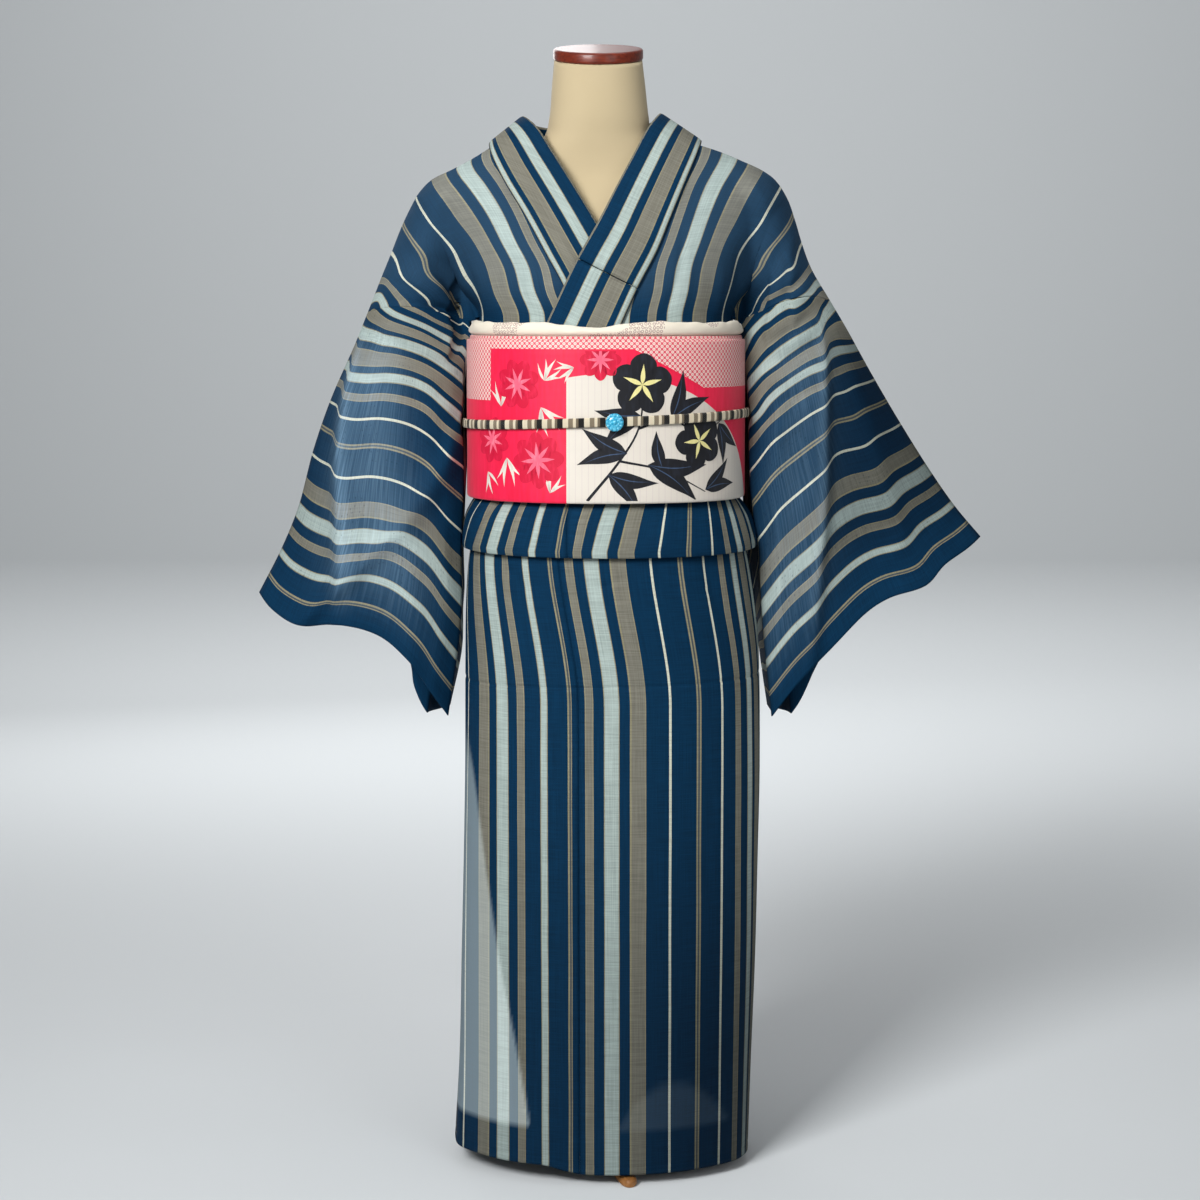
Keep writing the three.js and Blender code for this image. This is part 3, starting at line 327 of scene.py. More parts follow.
def declare_cloth(piece, points, node, held):
    """Says which node the cloth stands for, and works out the size that it was cut to, from its own
    weave.
    """
    stands_for(piece, node)
    wide = along(points, 1)[:, -1]
    tall = along(points, 0)[-1]
    steps_u, steps_v = np.diff(points, axis=1)[:-1], np.diff(points, axis=0)[:, :-1]
    area = np.linalg.norm(np.cross(steps_u, steps_v), axis=-1).sum() * MM * MM
    flat = (float(wide.max()) * MM, float(tall.max()) * MM)
    area = min(float(area), flat[0] * flat[1])


# ---- Materials ----
def linear(colour):
    """An sRGB hex colour as the linear one that a shader takes."""
    parts = [int(colour[i : i + 2], 16) / 255 for i in (1, 3, 5)]
    return (*(c / 12.92 if c <= 0.04045 else ((c + 0.055) / 1.055) ** 2.4 for c in parts), 1.0)


def add(tree, kind, inputs=(), **settings):
    """Adds one node with its settings and its inputs, by name or number or all in order: each a value,
    a socket to link or a node, which means its first output."""
    made = tree.nodes.new(f"ShaderNode{kind}")
    for key, value in settings.items():
        setattr(made, key, value)
    for key, value in inputs.items() if isinstance(inputs, dict) else enumerate(inputs):
        if isinstance(value, bpy.types.Node):
            value = value.outputs[0]
        if isinstance(value, bpy.types.NodeSocket):
            tree.links.new(value, made.inputs[key])
        else:
            made.inputs[key].default_value = value
    return made


def new_material(name, roughness, specular=0.5, sheen=0.0, coat=0.0):
    """An empty surface with the constants that its real one has."""
    material = bpy.data.materials.new(name)
    material.use_nodes = True
    tree = material.node_tree
    surface = tree.nodes["Principled BSDF"]
    surface.inputs["Roughness"].default_value = roughness
    surface.inputs["Specular IOR Level"].default_value = specular
    surface.inputs["Sheen Weight"].default_value = sheen
    surface.inputs["Sheen Roughness"].default_value = 0.45
    surface.inputs["Coat Weight"].default_value = coat
    surface.inputs["Coat Roughness"].default_value = 0.12
    return material, tree, surface


# Stripes from the cloth's edge: middle, width, colour, and the width of the fine line at each side.
CLOTH_STRIPES = (
    (23.0, 3.6, "between", 1.3),
    (52.0, 7.6, "pale", 0.9),
    (79.0, 9.0, "taupe", 1.0),
    (103.0, 15.0, "pale", 1.0),
    (131.5, 16.5, "taupe", 1.0),
    (166.5, 2.6, "bright", 0.0),
    (199.0, 3.8, "between", 1.4),
    (228.0, 3.0, "bright", 0.0),
    (251.0, 8.0, "taupe", 0.9),
    (272.0, 9.6, "pale", 0.9),
    (291.0, 14.0, "taupe", 1.0),
    (312.0, 13.0, "pale", 1.0),
)
# The folded collar shows another stretch of the same cloth, from its fold to its seam.
COLLAR_STRIPES = (
    (0.4, 1.8, "taupe", 0.4),
    (19.4, 10.0, "pale", 0.8),
    (39.2, 14.0, "taupe", 0.9),
    (54.4, 4.4, "pale", 0.8),
)
LONGEST_RAMP = 32
BEFORE_EDGE = -1e3  # a stop far before the cloth's edge, for its ground
BETWEEN_SHARE = 0.35  # of taupe in the ground, for the stripes of mixed threads


def stripe_stops(stripes, settings):
    """Where each colour starts across the cloth, in millimetres."""
    ground, taupe = settings.ground, settings.taupe_stripe
    colours = {
        "ground": ground, "pale": settings.pale_stripe, "taupe": taupe,
        "bright": settings.thin_stripe, "line": settings.fine_line,
        "between": tuple(mix(dark, light, BETWEEN_SHARE) for dark, light in zip(ground, taupe)),
    }
    stops = [(BEFORE_EDGE, ground)]
    for middle, width, colour, line in stripes:
        low, high = middle - width / 2, middle + width / 2
        if line:
            stops += [(low - line / 2, colours["line"]), (low + line / 2, colours[colour]),
                      (high - line / 2, colours["line"]), (high + line / 2, colours["ground"])]
        else:
            stops += [(low, colours[colour]), (high, colours["ground"])]
    return stops


def stripe_colour(tree, across, stripes, settings):
    """The stripe's colour at a distance across the cloth, through as many ramps as it takes."""
    stops = stripe_stops(stripes, settings)
    result = None
    while stops:
        part = stops[:LONGEST_RAMP]
        stops = stops[LONGEST_RAMP - 1 :] if len(stops) > LONGEST_RAMP else []
        start = part[1][0] - 1 if part[0][0] == BEFORE_EDGE else part[0][0]
        end = part[-1][0] + 1
        share = add(tree, "MapRange", (across, start * MM, end * MM, 0.0, 1.0))
        ramp = add(tree, "ValToRGB", (share,))
        ramp.color_ramp.interpolation = "CONSTANT"
        points = ramp.color_ramp.elements
        while len(points) < len(part):
            points.new(0.5)
        for point, (at, colour) in zip(points, part):
            point.position = min(max((at - start) / (end - start), 0), 1)
        for point, (at, colour) in zip(points, part):
            point.color = colour
        if result is None:
            result = ramp.outputs[0]
        else:
            later = add(tree, "Math", (across, start * MM), operation="GREATER_THAN")
            result = add(tree, "Mix", {0: later, 6: result, 7: ramp},
                         data_type="RGBA").outputs[2]
    return result


# Each cloth's stripes, the settings' colour of its painted light, and whether slubs and painted light
# streaks show.
GAUZES = {
    "striped silk gauze": (CLOTH_STRIPES, "painted_room_light", False),  # the skirt's, before the pale room
    "striped body gauze": (CLOTH_STRIPES, "painted_back_light", False),  # the same, with light behind it
    "striped slub gauze": (CLOTH_STRIPES, "painted_back_light", True),  # the sleeves', two open layers
    "collar gauze": (COLLAR_STRIPES, "painted_room_light", False),  # another stretch of it, folded
}


def gauze(name, settings):
    """Summer silk gauze, yarn dyed and plain woven: matt, a little sheer, with uneven threads that
    leave fine streaks along the warp and faint ribs along the weft."""
    if name in bpy.data.materials:
        return bpy.data.materials[name]
    stripes, painted_light_name, slubs = GAUZES[name]
    material, tree, surface = new_material(name, 0.82, specular=0.08)
    place = add(tree, "UVMap", uv_map="cloth")
    parts = add(tree, "SeparateXYZ", (place,))
    across, along_warp = parts.outputs[0], parts.outputs[1]

    # A stripe's edge wanders by a thread or two.
    wander_place = add(tree, "VectorMath", (place, (40.0, 9.0, 1.0)), operation="MULTIPLY")
    wander = add(tree, "TexNoise", {"Vector": wander_place, "Scale": 1.0, "Detail": 1.0})
    shift = add(tree, "Math", (wander, 0.0009, -0.00045), operation="MULTIPLY_ADD")
    moved = add(tree, "Math", (across, shift))
    colour = stripe_colour(tree, moved.outputs[0], stripes, settings)

    # Warp streaks are about 1 mm wide and 60 mm long, weft ribs 1 mm tall and 30 mm long.
    warp_place = add(tree, "VectorMath", (place, (850.0, 16.0, 1.0)), operation="MULTIPLY")
    warp = add(tree, "TexNoise", {"Vector": warp_place, "Scale": 1.0, "Detail": 2.0})
    weft_place = add(tree, "VectorMath", (place, (34.0, 900.0, 1.0)), operation="MULTIPLY")
    weft = add(tree, "TexNoise", {"Vector": weft_place, "Scale": 1.0, "Detail": 1.0})
    threads = add(tree, "Math", (warp, weft))
    light = add(tree, "MapRange", (threads, 0.7, 1.3, 0.8, 1.22))
    grey = add(tree, "CombineColor", (light, light, light))
    colour = add(tree, "Mix", {0: 1.0, 6: colour, 7: grey},
                 data_type="RGBA", blend_type="MULTIPLY").outputs[2]

    # Painted light: where only one layer hangs, a pale colour is screened over the cloth, as the room
    # and the light behind would show through the open weave.
    lit_share = add(tree, "Attribute", attribute_name="painted_light_through").outputs[2]
    if slubs:
        # Painted light streaks: the painted light is broken into pale streaks about 2 mm wide, as where
        # two open layers hang close together.
        streak_place = add(tree, "VectorMath", (place, (14.0, 380.0, 1.0)), operation="MULTIPLY")
        streaks = add(tree, "TexNoise", {"Vector": streak_place, "Scale": 1.0, "Detail": 1.0})
        strength = add(tree, "MapRange", (streaks, 0.4, 0.64, 0.72, 1.35))
        lit_share = add(tree, "Math", (lit_share, strength), operation="MULTIPLY")
    painted_light = add(tree, "Mix", {0: lit_share, 6: colour, 7: getattr(settings, painted_light_name)},
               data_type="RGBA", blend_type="SCREEN")
    colour = painted_light.outputs[2]

    # Painted shade: the colour is darkened by a share given at each point, towards the skirt's hem and
    # on the sleeves' outer strips and backs.
    shade_share = add(tree, "Attribute", attribute_name="painted_shade").outputs[2]
    colour = add(tree, "Mix", {0: shade_share, 6: colour, 7: linear("#a3a7aa")},
                 data_type="RGBA", blend_type="MULTIPLY").outputs[2]

    if slubs:
        # Small dark slubs of 2 mm, in patches about 60 mm wide.
        spots = add(tree, "TexVoronoi", {"Vector": place, "Scale": 105.0, "Randomness": 0.75},
                    voronoi_dimensions="2D")
        patch = add(tree, "TexNoise", {"Vector": place, "Scale": 17.0, "Detail": 0.0})
        near = add(tree, "Math", (spots, 0.11), operation="LESS_THAN")
        here = add(tree, "Math", (patch, 0.55), operation="GREATER_THAN")
        dark = add(tree, "Math", (near, here), operation="MULTIPLY")
        dim = add(tree, "Math", (dark, 0.3), operation="MULTIPLY")
        colour = add(tree, "Mix", {0: dim, 6: colour, 7: linear("#0a2238")},
                     data_type="RGBA").outputs[2]
    tree.links.new(colour, surface.inputs["Base Color"])

    # Threads are drawn 1.1 mm apart, three times the real spacing, so that they show.
    spacing = settings.thread_spacing
    rise = []
    for direction, at in (("warp", across), ("weft", along_warp)):
        turns = add(tree, "Math", (at, math.tau / spacing), operation="MULTIPLY", label=direction)
        rise.append(add(tree, "Math", (turns,), operation="SINE"))
    weave = add(tree, "Math", (rise[0], rise[1]), operation="MULTIPLY")
    height = add(tree, "Math", (weave, 0.5, threads), operation="MULTIPLY_ADD")
    bump = add(tree, "Bump", {"Strength": 0.35, "Distance": 0.0004, "Height": height})
    tree.links.new(bump.outputs[0], surface.inputs["Normal"])
    return material


# ---- Settings ----
AS_COLOUR = {"subtype": "COLOR", "size": 4, "min": 0, "max": 1}


class KimonoSettings(bpy.types.PropertyGroup):
    """Sizes and colours of the kimono's own cloth"""

    cloth_thickness: bpy.props.FloatProperty(
        name="Cloth thickness", description="Thickness of one layer of the kimono's cloth",
        default=0.0012, min=0.0003, max=0.003, unit="LENGTH", precision=4)
    thread_spacing: bpy.props.FloatProperty(
        name="Thread spacing", description="Distance between two drawn threads",
        default=0.0011, min=0.0003, max=0.005, unit="LENGTH", precision=4)
    ground: bpy.props.FloatVectorProperty(
        name="Ground", description="Colour of the cloth between its stripes",
        **AS_COLOUR, default=linear("#062e4a"))
    pale_stripe: bpy.props.FloatVectorProperty(
        name="Pale stripe", description="Colour of the wide grey-white stripes",
        **AS_COLOUR, default=linear("#a3b1ac"))
    taupe_stripe: bpy.props.FloatVectorProperty(
        name="Taupe stripe", description="Colour of the wide brown-grey stripes",
        **AS_COLOUR, default=linear("#77756a"))
    thin_stripe: bpy.props.FloatVectorProperty(
        name="Thin stripe", description="Colour of the thin cream stripes",
        **AS_COLOUR, default=linear("#c9cbb9"))
    fine_line: bpy.props.FloatVectorProperty(
        name="Fine line", description="Colour of the fine lines beside the wide stripes",
        **AS_COLOUR, default=linear("#8c866c"))
    # The next two colours are painted light, screened over the gauze where it is sheer: the room's
    # behind the skirt and collar, and the light behind the sleeves and shoulders.
    painted_room_light: bpy.props.FloatVectorProperty(
        name="Sheer veil", description="Colour that a single layer takes from the room behind it",
        **AS_COLOUR, default=linear("#a3b1b2"))
    painted_back_light: bpy.props.FloatVectorProperty(
        name="Lit veil", description="Light that comes through the sleeves and shoulders from behind",
        **AS_COLOUR, default=linear("#9ac0de"))


class SashSettings(bpy.types.PropertyGroup):
    """Colours of the sash, its scarf, cord and clasp"""

    thickness: bpy.props.FloatProperty(
        name="Sash thickness", description="Thickness of one turn of the sash",
        default=0.003, min=0.001, max=0.006, unit="LENGTH", precision=4)
    red: bpy.props.FloatVectorProperty(
        name="Red", description="Ground colour of the sash",
        **AS_COLOUR, default=linear("#e8123f"))
    cream: bpy.props.FloatVectorProperty(
        name="Cream", description="Colour of the sash's pale panel and of its tied dots",
        **AS_COLOUR, default=linear("#ddd5c9"))
    black: bpy.props.FloatVectorProperty(
        name="Black", description="Colour of the large leaves and blossoms",
        **AS_COLOUR, default=linear("#15161c"))
    yellow: bpy.props.FloatVectorProperty(
        name="Yellow", description="Colour of the blossoms' hearts",
        **AS_COLOUR, default=linear("#e6dc94"))
    scarf: bpy.props.FloatVectorProperty(
        name="Scarf", description="Colour of the crepe scarf above the sash",
        **AS_COLOUR, default=linear("#e9dfcd"))
    clasp: bpy.props.FloatVectorProperty(
        name="Clasp", description="Colour of the cord's clasp",
        **AS_COLOUR, default=linear("#1596c0"))


class FormSettings(bpy.types.PropertyGroup):
    """Colours of the dress form and its stand"""

    cover: bpy.props.FloatVectorProperty(
        name="Cover", description="Colour of the form's knitted cover",
        **AS_COLOUR, default=linear("#c3b290"))
    cap: bpy.props.FloatVectorProperty(
        name="Cap", description="Colour of the varnished cap on the neck",
        **AS_COLOUR, default=linear("#7a2a12"))
    base: bpy.props.FloatVectorProperty(
        name="Base", description="Colour of the stand's wood",
        **AS_COLOUR, default=linear("#a9743f"))


# ---- Skirt ----
HEM_HEIGHT = 12
SKIRT_TOP = 730
OVERLAP_EDGE = -98
SIDE_SEAM_LEFT = 92
BACK_SEAM = 180
SIDE_SEAM_RIGHT = 266
INNER_SEAM = 372
INNER_EDGE = 432
OUTER_LAYER = 3.8
EDGE_GAP = 0.03  # from a panel's edge to its seam
EDGE_TURN = math.degrees(EDGE_GAP / 140)  # the same as a turn, about 140 mm from the middle
# The next share is the strength of the painted light where the skirt hangs as one layer.
PAINTED_LIGHT_SHARE = 0.47  # of the room's light that comes through one layer of the cloth
SEAM_START = {"overlap": 14, "front": 68, "back": 14}  # stripe place at each panel's own seam
SKIRT_FOLDS = (  # turn, depth, width, from
    (-70, 3.2, 9, 720), (-9, -2.6, 5, 640), (58, 2.6, 10, 560), (84, -3, 8, 650),
    (118, 4, 10, 600), (150, -4, 11, 640), (208, 4, 12, 620), (240, -4, 10, 600),
)


def seam_turn(z):
    return np.degrees(turn_at(SKIRT, z, -22 - 22 * smooth((z - 520) / 180)))


def skirt_layer(degrees):
    return OUTER_LAYER * (1 - smooth((degrees - 62) / 34))


def hem_height(degrees):
    overlap = 9 * (1 - smooth((degrees + 22) / 16))
    inner = 44 * smooth((degrees - 300) / 130) + 9 * smooth((degrees - 262) / 20)
    return HEM_HEIGHT + overlap + inner


def skirt_fold(degrees, z):
    total = 0
    for turn, depth, width, start in SKIRT_FOLDS:
        away = (((degrees - turn + 540) % 360) - 180) / width
        total = total + depth * np.exp(-away * away) * smooth((start - z) / 420)
    return total


# Creases seen from the front, in millimetres: a folded line across, and pulls below the tuck.
SKIRT_CREASES = (
    (21, 674, 62, 637, -1.3, 2.6), (28, 664, -14, 636, -1.2, 2.8), (-40, 668, 14, 652, -0.8, 2.4),
    (60, 690, 92, 630, -1.2, 6), (84, 668, 128, 640, -0.9, 3), (-60, 640, -30, 560, -0.8, 6),
    (-120, 700, -70, 640, -1.4, 6), (110, 700, 142, 600, -1.6, 7), (20, 640, 60, 560, 0.9, 8),
    (-95, 600, -80, 470, 0.8, 7), (-38, 560, -34, 430, -0.9, 4),
)


# Rows of the skirt's mesh, as shares of its height: closer at the hem, the folded line and the pulls.
SKIRT_ROWS = np.unique(np.concatenate([
    np.linspace(0, 1, 97), np.arange(0.004, 0.022, 0.002), np.arange(0.724, 0.756, 0.002),
    np.arange(0.85, 0.95, 0.003),
]))


def skirt_panel(start, end, kind, from_start, columns=72):
    u, v = np.meshgrid(np.linspace(0, 1, columns + 1), SKIRT_ROWS)
    guess = mix(HEM_HEIGHT, SKIRT_TOP, v)
    degrees = mix(start(guess) + EDGE_TURN, end(guess) - EDGE_TURN, u)
    z = mix(hem_height(degrees), SKIRT_TOP, v)
    near_front = np.cos(np.radians(degrees)) > 0
    grow = skirt_layer(degrees) + skirt_fold(degrees, z)
    points = girth(SKIRT, z, np.radians(degrees), grow)
    outer = degrees < 150
    detail = np.where(near_front & outer, creases(points[..., 0], z, SKIRT_CREASES), 0.0)
    # The folded line across the front, and the hem's turned edge.
    detail += np.where(outer, -1.1 * np.exp(-(((z - 544 - 0.02 * points[..., 0]) / 1.8) ** 2)), 0.0)
    detail += -0.5 * np.exp(-(((z - hem_height(degrees) - 9) / 1.6) ** 2))
    # Each seam pulls its two edges in a little.
    seam = np.minimum(u, 1 - u) * along(points, 1)[:, -1:]
    detail += -1.1 * np.exp(-((seam / 2.6) ** 2))
    points = points + facing(points) * settle(detail, 1)[..., None]
    length = along(points, 1)
    place = length if from_start else length[:, -1:] - length
    uv = np.stack([place + SEAM_START[kind], z], -1)
    return points, uv, z


# Where the layer behind the overlap ends, as the front shows it.
SINGLE_EDGE = table("z x", (
    (0, -66), (61, -74), (143, -88), (229, -105), (323, -120), (458, -139), (560, -160),
))


def painted_light_through(points, z):
    """How much painted light shows through the open cloth in front: most in a long triangle at the
    wearer's right, where the overlap hangs alone, and a little in a low dome at the left."""
    x = points[..., 0]
    triangle = smooth((column(SINGLE_EDGE, "x", z) - x) / 4) * smooth((500 - z) / 60)
    dome = 0.15 * smooth((118 - 50 * ((x - 80) / 62) ** 2 - z) / 14)
    ahead = points[..., 1] < 40
    return PAINTED_LIGHT_SHARE * np.maximum(triangle, dome) * smooth((z - 60) / 3) * ahead


def painted_hem_shade(points, z):
    """Painted shade: how far the gauze darkens towards the hem and towards the wearer's left, where less
    light falls.
    """
    return smooth((540 - z) / 460) * (0.5 + 0.5 * smooth((points[..., 0] + 20) / 150))


class KIMONO_OT_skirt(bpy.types.Operator):
    """Makes the six panels of the skirt, which goes round one and a half times"""

    bl_idname = "kimono.skirt"
    bl_label = "Skirt"

    def execute(self, context):
        settings = context.scene.kimono
        fixed = lambda value: (lambda z: np.full_like(z, value))
        panels = (
            ("overlap_left", fixed(OVERLAP_EDGE), seam_turn, "overlap", False),
            ("front_left_skirt", seam_turn, fixed(SIDE_SEAM_LEFT), "front", True),
            ("back_left_skirt", fixed(SIDE_SEAM_LEFT), fixed(BACK_SEAM), "back", False),
            ("back_right_skirt", fixed(BACK_SEAM), fixed(SIDE_SEAM_RIGHT), "back", True),
            ("front_right_skirt", fixed(SIDE_SEAM_RIGHT), fixed(INNER_SEAM), "front", False),
            ("overlap_right", fixed(INNER_SEAM), fixed(INNER_EDGE), "overlap", True),
        )
        for name, start, end, kind, from_start in panels:
            points, uv, z = skirt_panel(start, end, kind, from_start)
            # Painted light where the front hangs as one layer, and painted shade towards the hem and the
            # wearer's left, kept off the painted light.
            in_front = name in ("overlap_left", "front_left_skirt")
            painted_light = painted_light_through(points, z) if in_front else np.zeros_like(z)
            shade_share = painted_hem_shade(points, z) * (1 - painted_light / PAINTED_LIGHT_SHARE)
            piece = cloth_piece(f"{name}_cloth", points, uv, gauze("striped silk gauze", settings),
                                settings.cloth_thickness,
                                extra={"painted_light_through": painted_light, "painted_shade": shade_share})
            declare_cloth(piece, points, name, "hung")
        return {"FINISHED"}


# ---- Waist tuck ----
TUCK = table("at z grow", (
    (0, 754, 2.6), (0.12, 743, 3.4), (0.24, 734, 9.5), (0.36, 722, 14.6), (0.48, 708, 15.4),
    (0.6, 696, 14.4), (0.7, 689, 12.6), (0.8, 686, 10.6), (0.9, 689.5, 8.6), (1, 714, 7.6),
))
TUCK_DROP = 3
TUCK_SEAM = -14
TUCK_WALL = 1.6  # the table gives the cloth's inner face
TUCK_LEAN = table("turn lean", (
    (-100, 34), (-75, 38), (-60, 31), (-45, 21), (-30, 14), (-15, 9), (0, 13), (15, 10), (30, 4),
    (45, -2), (60, -10), (88, -18), (120, -8), (180, 0), (262, 10),
))
TUCK_PLEATS = (  # turn at the bottom, turn at the top, depth, width
    (-66, -52, -2.6, 2.2), (-40, -30, 1.2, 4), (8, 16, -1.1, 3), (38, 44, 1.3, 5), (74, 80, -1.8, 3),
    (120, 126, -1.6, 4), (160, 158, 1.4, 6), (214, 208, -1.6, 4), (240, 236, 1.2, 5),
)


def tuck_panel(start, end, columns, rows=40):
    u, v = grid(columns, rows)
    degrees = mix(start + EDGE_TURN, end - EDGE_TURN, u)
    turn = np.radians(degrees)
    z = column(TUCK, "z", v, "at") - TUCK_DROP * np.cos(turn) * smooth(v / 0.6)
    bulge = 1.6 * np.sin(turn * 5) * np.sin(np.pi * np.minimum(v / 0.8, 1)) ** 2
    points = girth(SKIRT, z, turn, column(TUCK, "grow", v, "at") + bulge + TUCK_WALL)
    height = np.clip((z - 690) / 48, 0, 1)
    detail = np.zeros_like(z)
    for low, high, depth, width in TUCK_PLEATS:
        away = (degrees - mix(low, high, height)) / width
        detail += depth * np.exp(-away * away)
    detail *= smooth(v / 0.25) * smooth((0.82 - v) / 0.25)
    seam = np.minimum(u, 1 - u) * along(points, 1)[:, -1:]
    detail += -0.9 * np.exp(-((seam / 2.4) ** 2)) * smooth((0.9 - v) / 0.2)
    points = points - facing(points) * detail[..., None]
    lean = column(TUCK_LEAN, "lean", degrees, "turn") * (height - 0.1)
    return points, degrees, lean


class KIMONO_OT_tuck(bpy.types.Operator):
    """Makes the waist tuck, the surplus length folded back up under the sash"""

    bl_idname = "kimono.tuck"
    bl_label = "Waist tuck"

    def execute(self, context):
        settings = context.scene.kimono
        panels = (
            ("tuck_overlap", OVERLAP_EDGE, TUCK_SEAM, 14, False, 48),
            ("tuck_front", TUCK_SEAM, SIDE_SEAM_LEFT, 68, True, 60),
            ("tuck_back", SIDE_SEAM_LEFT, 360 + OVERLAP_EDGE, None, True, 80),
        )
        for name, start, end, place, from_start, columns in panels:
            points, degrees, lean = tuck_panel(start, end, columns)
            length = along(points, 1)
            if place is None:  # the back runs down to its middle seam and up again
                middle = length - np.interp(BACK_SEAM, degrees[0], length[0])
                across = np.abs(middle) + 14 - lean
            else:
                across = place + (length - lean if from_start else length[:, -1:] - length + lean)
            uv = np.stack([across, 760 - along(points, 0)], -1)
            piece = cloth_piece(f"{name}_cloth", points, uv, gauze("striped silk gauze", settings),
                                settings.cloth_thickness, outward=-1)
            declare_cloth(piece, points, name, "folded")
        return {"FINISHED"}


# ---- Bodice ----
SHOULDER_Y = 10
SHOULDER_START = 905
ARMPIT_HEIGHT = 936
BODICE_BOTTOM = 762
ARM_DEPTH = 50
CREASE = table("z left right", (
    (880, -150, 158), (940, -154, 156), (1000, -148, 150), (1060, -138, 140), (1150, -80, 70),
))
FOLDS = {
    "left": ((104, 1126), (131, 1113), (154, 1104), (176, 1095), (192, 1083), (205, 1063), (213, 1041),
             (221, 1015), (231, 989), (252, 953)),
    "right": ((-113, 1126), (-136, 1107), (-161, 1094), (-183, 1084), (-197, 1071), (-208, 1052),
              (-218, 1031), (-228, 1006), (-238, 982), (-254, 941)),
}
OUTLINE = {
    name: table("z x", tuple((-z, x) for x, z in rows)) for name, rows in FOLDS.items()
}
LAYERS = table("z leftCollar leftFront rightCollar", (
    (740, 11.8, 7.9, 3.4), (1000, 11.8, 7.9, 3.6), (1050, 8.4, 4, 4.4), (1100, 5.5, 0.5, 5.5),
    (1160, 6, 0, 6),
))


def soft_max(a, b, blend):
    near = np.maximum(blend - np.abs(a - b), 0) / np.maximum(blend, 1e-6)
    return np.maximum(a, b) + near * near * blend / 4


def middle_y(z):
    return SHOULDER_Y * smooth((z - SHOULDER_START) / 90)


def depth_at(x, z, face):
    left, right = column(BODICE, "left", z), column(BODICE, "right", z)
    share = np.minimum(np.abs((2 * x - left - right) / (right - left)), 1)
    reach = column(BODICE, face, z) + (middle_y(z) if face == "front" else -middle_y(z))
    torso = reach * (1 - share**ROUNDNESS) ** (1 / ROUNDNESS)
    is_left = x > (left + right) / 2
    inner = np.where(is_left, column(CREASE, "right", z), column(CREASE, "left", z))
    lowest = {name: rows[-1][1] for name, rows in FOLDS.items()}
    outer = np.where(
        is_left,
        column(OUTLINE["left"], "x", -np.maximum(z, lowest["left"])),
        column(OUTLINE["right"], "x", -np.maximum(z, lowest["right"])),
    )
    across = np.clip((outer - x) / (outer - inner), 0, 1)
    arm = ARM_DEPTH * np.sin(np.pi * across) ** 0.75 * (1 - smooth((z - 1070) / 50))
    return soft_max(torso, arm, 30 * np.minimum(1, np.abs(outer - x) / 30))


def worn(x, z, face, out=0.0):
    sign = -1 if face == "front" else 1
    return stack(x, middle_y(z) + sign * (depth_at(x, z, face) + out), z)


SLEEVES = {
    "left": {
        "side": 1,
        "fold": ((252, 953), (269, 925), (297, 876), (328, 824), (363, 769), (392, 728), (421, 694)),
        "cuff": ((421, 694), (405, 683), (377, 666), (357, 645), (317, 631), (291, 614), (252, 570),
                 (226, 541), (196, 499)),
        "armhole": ((252, 953), (226, 957), (192, 950), (165, 931)),
        "inner": ((165, 931), (167, 880), (169, 820), (172, 750), (180, 690), (186, 600), (196, 499)),
        # start and end of each fold down the sleeve, depth, width, whether it is a step
        "folds": ((0.13, 0.53, 15, 0.025, True), (0.46, 0.7, 7, 0.06, False),
                  (0.03, 0.24, 4, 0.05, False)),
        # where the stripes slip because a fold hides cloth: start, end, how far, width, and from
        # which share of the sleeve's length
        "slips": ((0.13, 0.53, 13, 0.022, -1), (0.55, 0.72, 11, 0.06, -1)),
        # The next value is the strength of the painted shade outside the top fold and along the back.
        "shade_share": 0.8,
    },
    "right": {
        "side": -1,
        "fold": ((-254, 941), (-269, 905), (-296, 846), (-316, 790), (-333, 728), (-352, 682),
                 (-378, 632)),
        "cuff": ((-378, 632), (-364, 618), (-343, 606), (-323, 600), (-280, 602), (-240, 590),
                 (-212, 562), (-194, 528), (-176, 499)),
        "armhole": ((-254, 941), (-228, 946), (-190, 945), (-159, 931)),
        "inner": ((-159, 931), (-158, 880), (-158, 820), (-158, 750), (-160, 690), (-162, 600),
                  (-176, 499)),
        "folds": ((-0.02, 0.25, 16, 0.018, True), (0.9, 0.14, 9, 0.05, False),
                  (0.3, 0.5, 5, 0.06, False)),
        "slips": ((-0.02, 0.25, 12, 0.01, -1), (0.9, 0.14, -17, 0.03, 0.42), (0.5, 0.6, 7, 0.05, -1)),
        # The next value is the strength of the painted shade outside the top fold and along the back.
        "shade_share": 0.3,
    },
}
COLLAR_SEAM = table("z left right", (
    (740, -66, 62), (868, -13, 2), (905, 7, -11), (935, 21, -24), (966, 35, -33), (1004, 55, -53),
    (1040, 70, -74), (1076, 84, -95), (1112, 101, -113),
))
NECK_CORNER = {"left": (104, 1121), "right": (-115, 1120)}
BACK_NECK = {
    "left": ((104, 1121), (100, 1111), (84, 1101), (50, 1094), (-4, 1090)),
    "right": ((-115, 1120), (-111, 1110), (-94, 1100), (-60, 1094), (-4, 1090)),
}
PANEL_ROWS = 16
WAIST_ROWS = 3
NECK_ROWS = 6
ARMHOLE_ROWS = 11

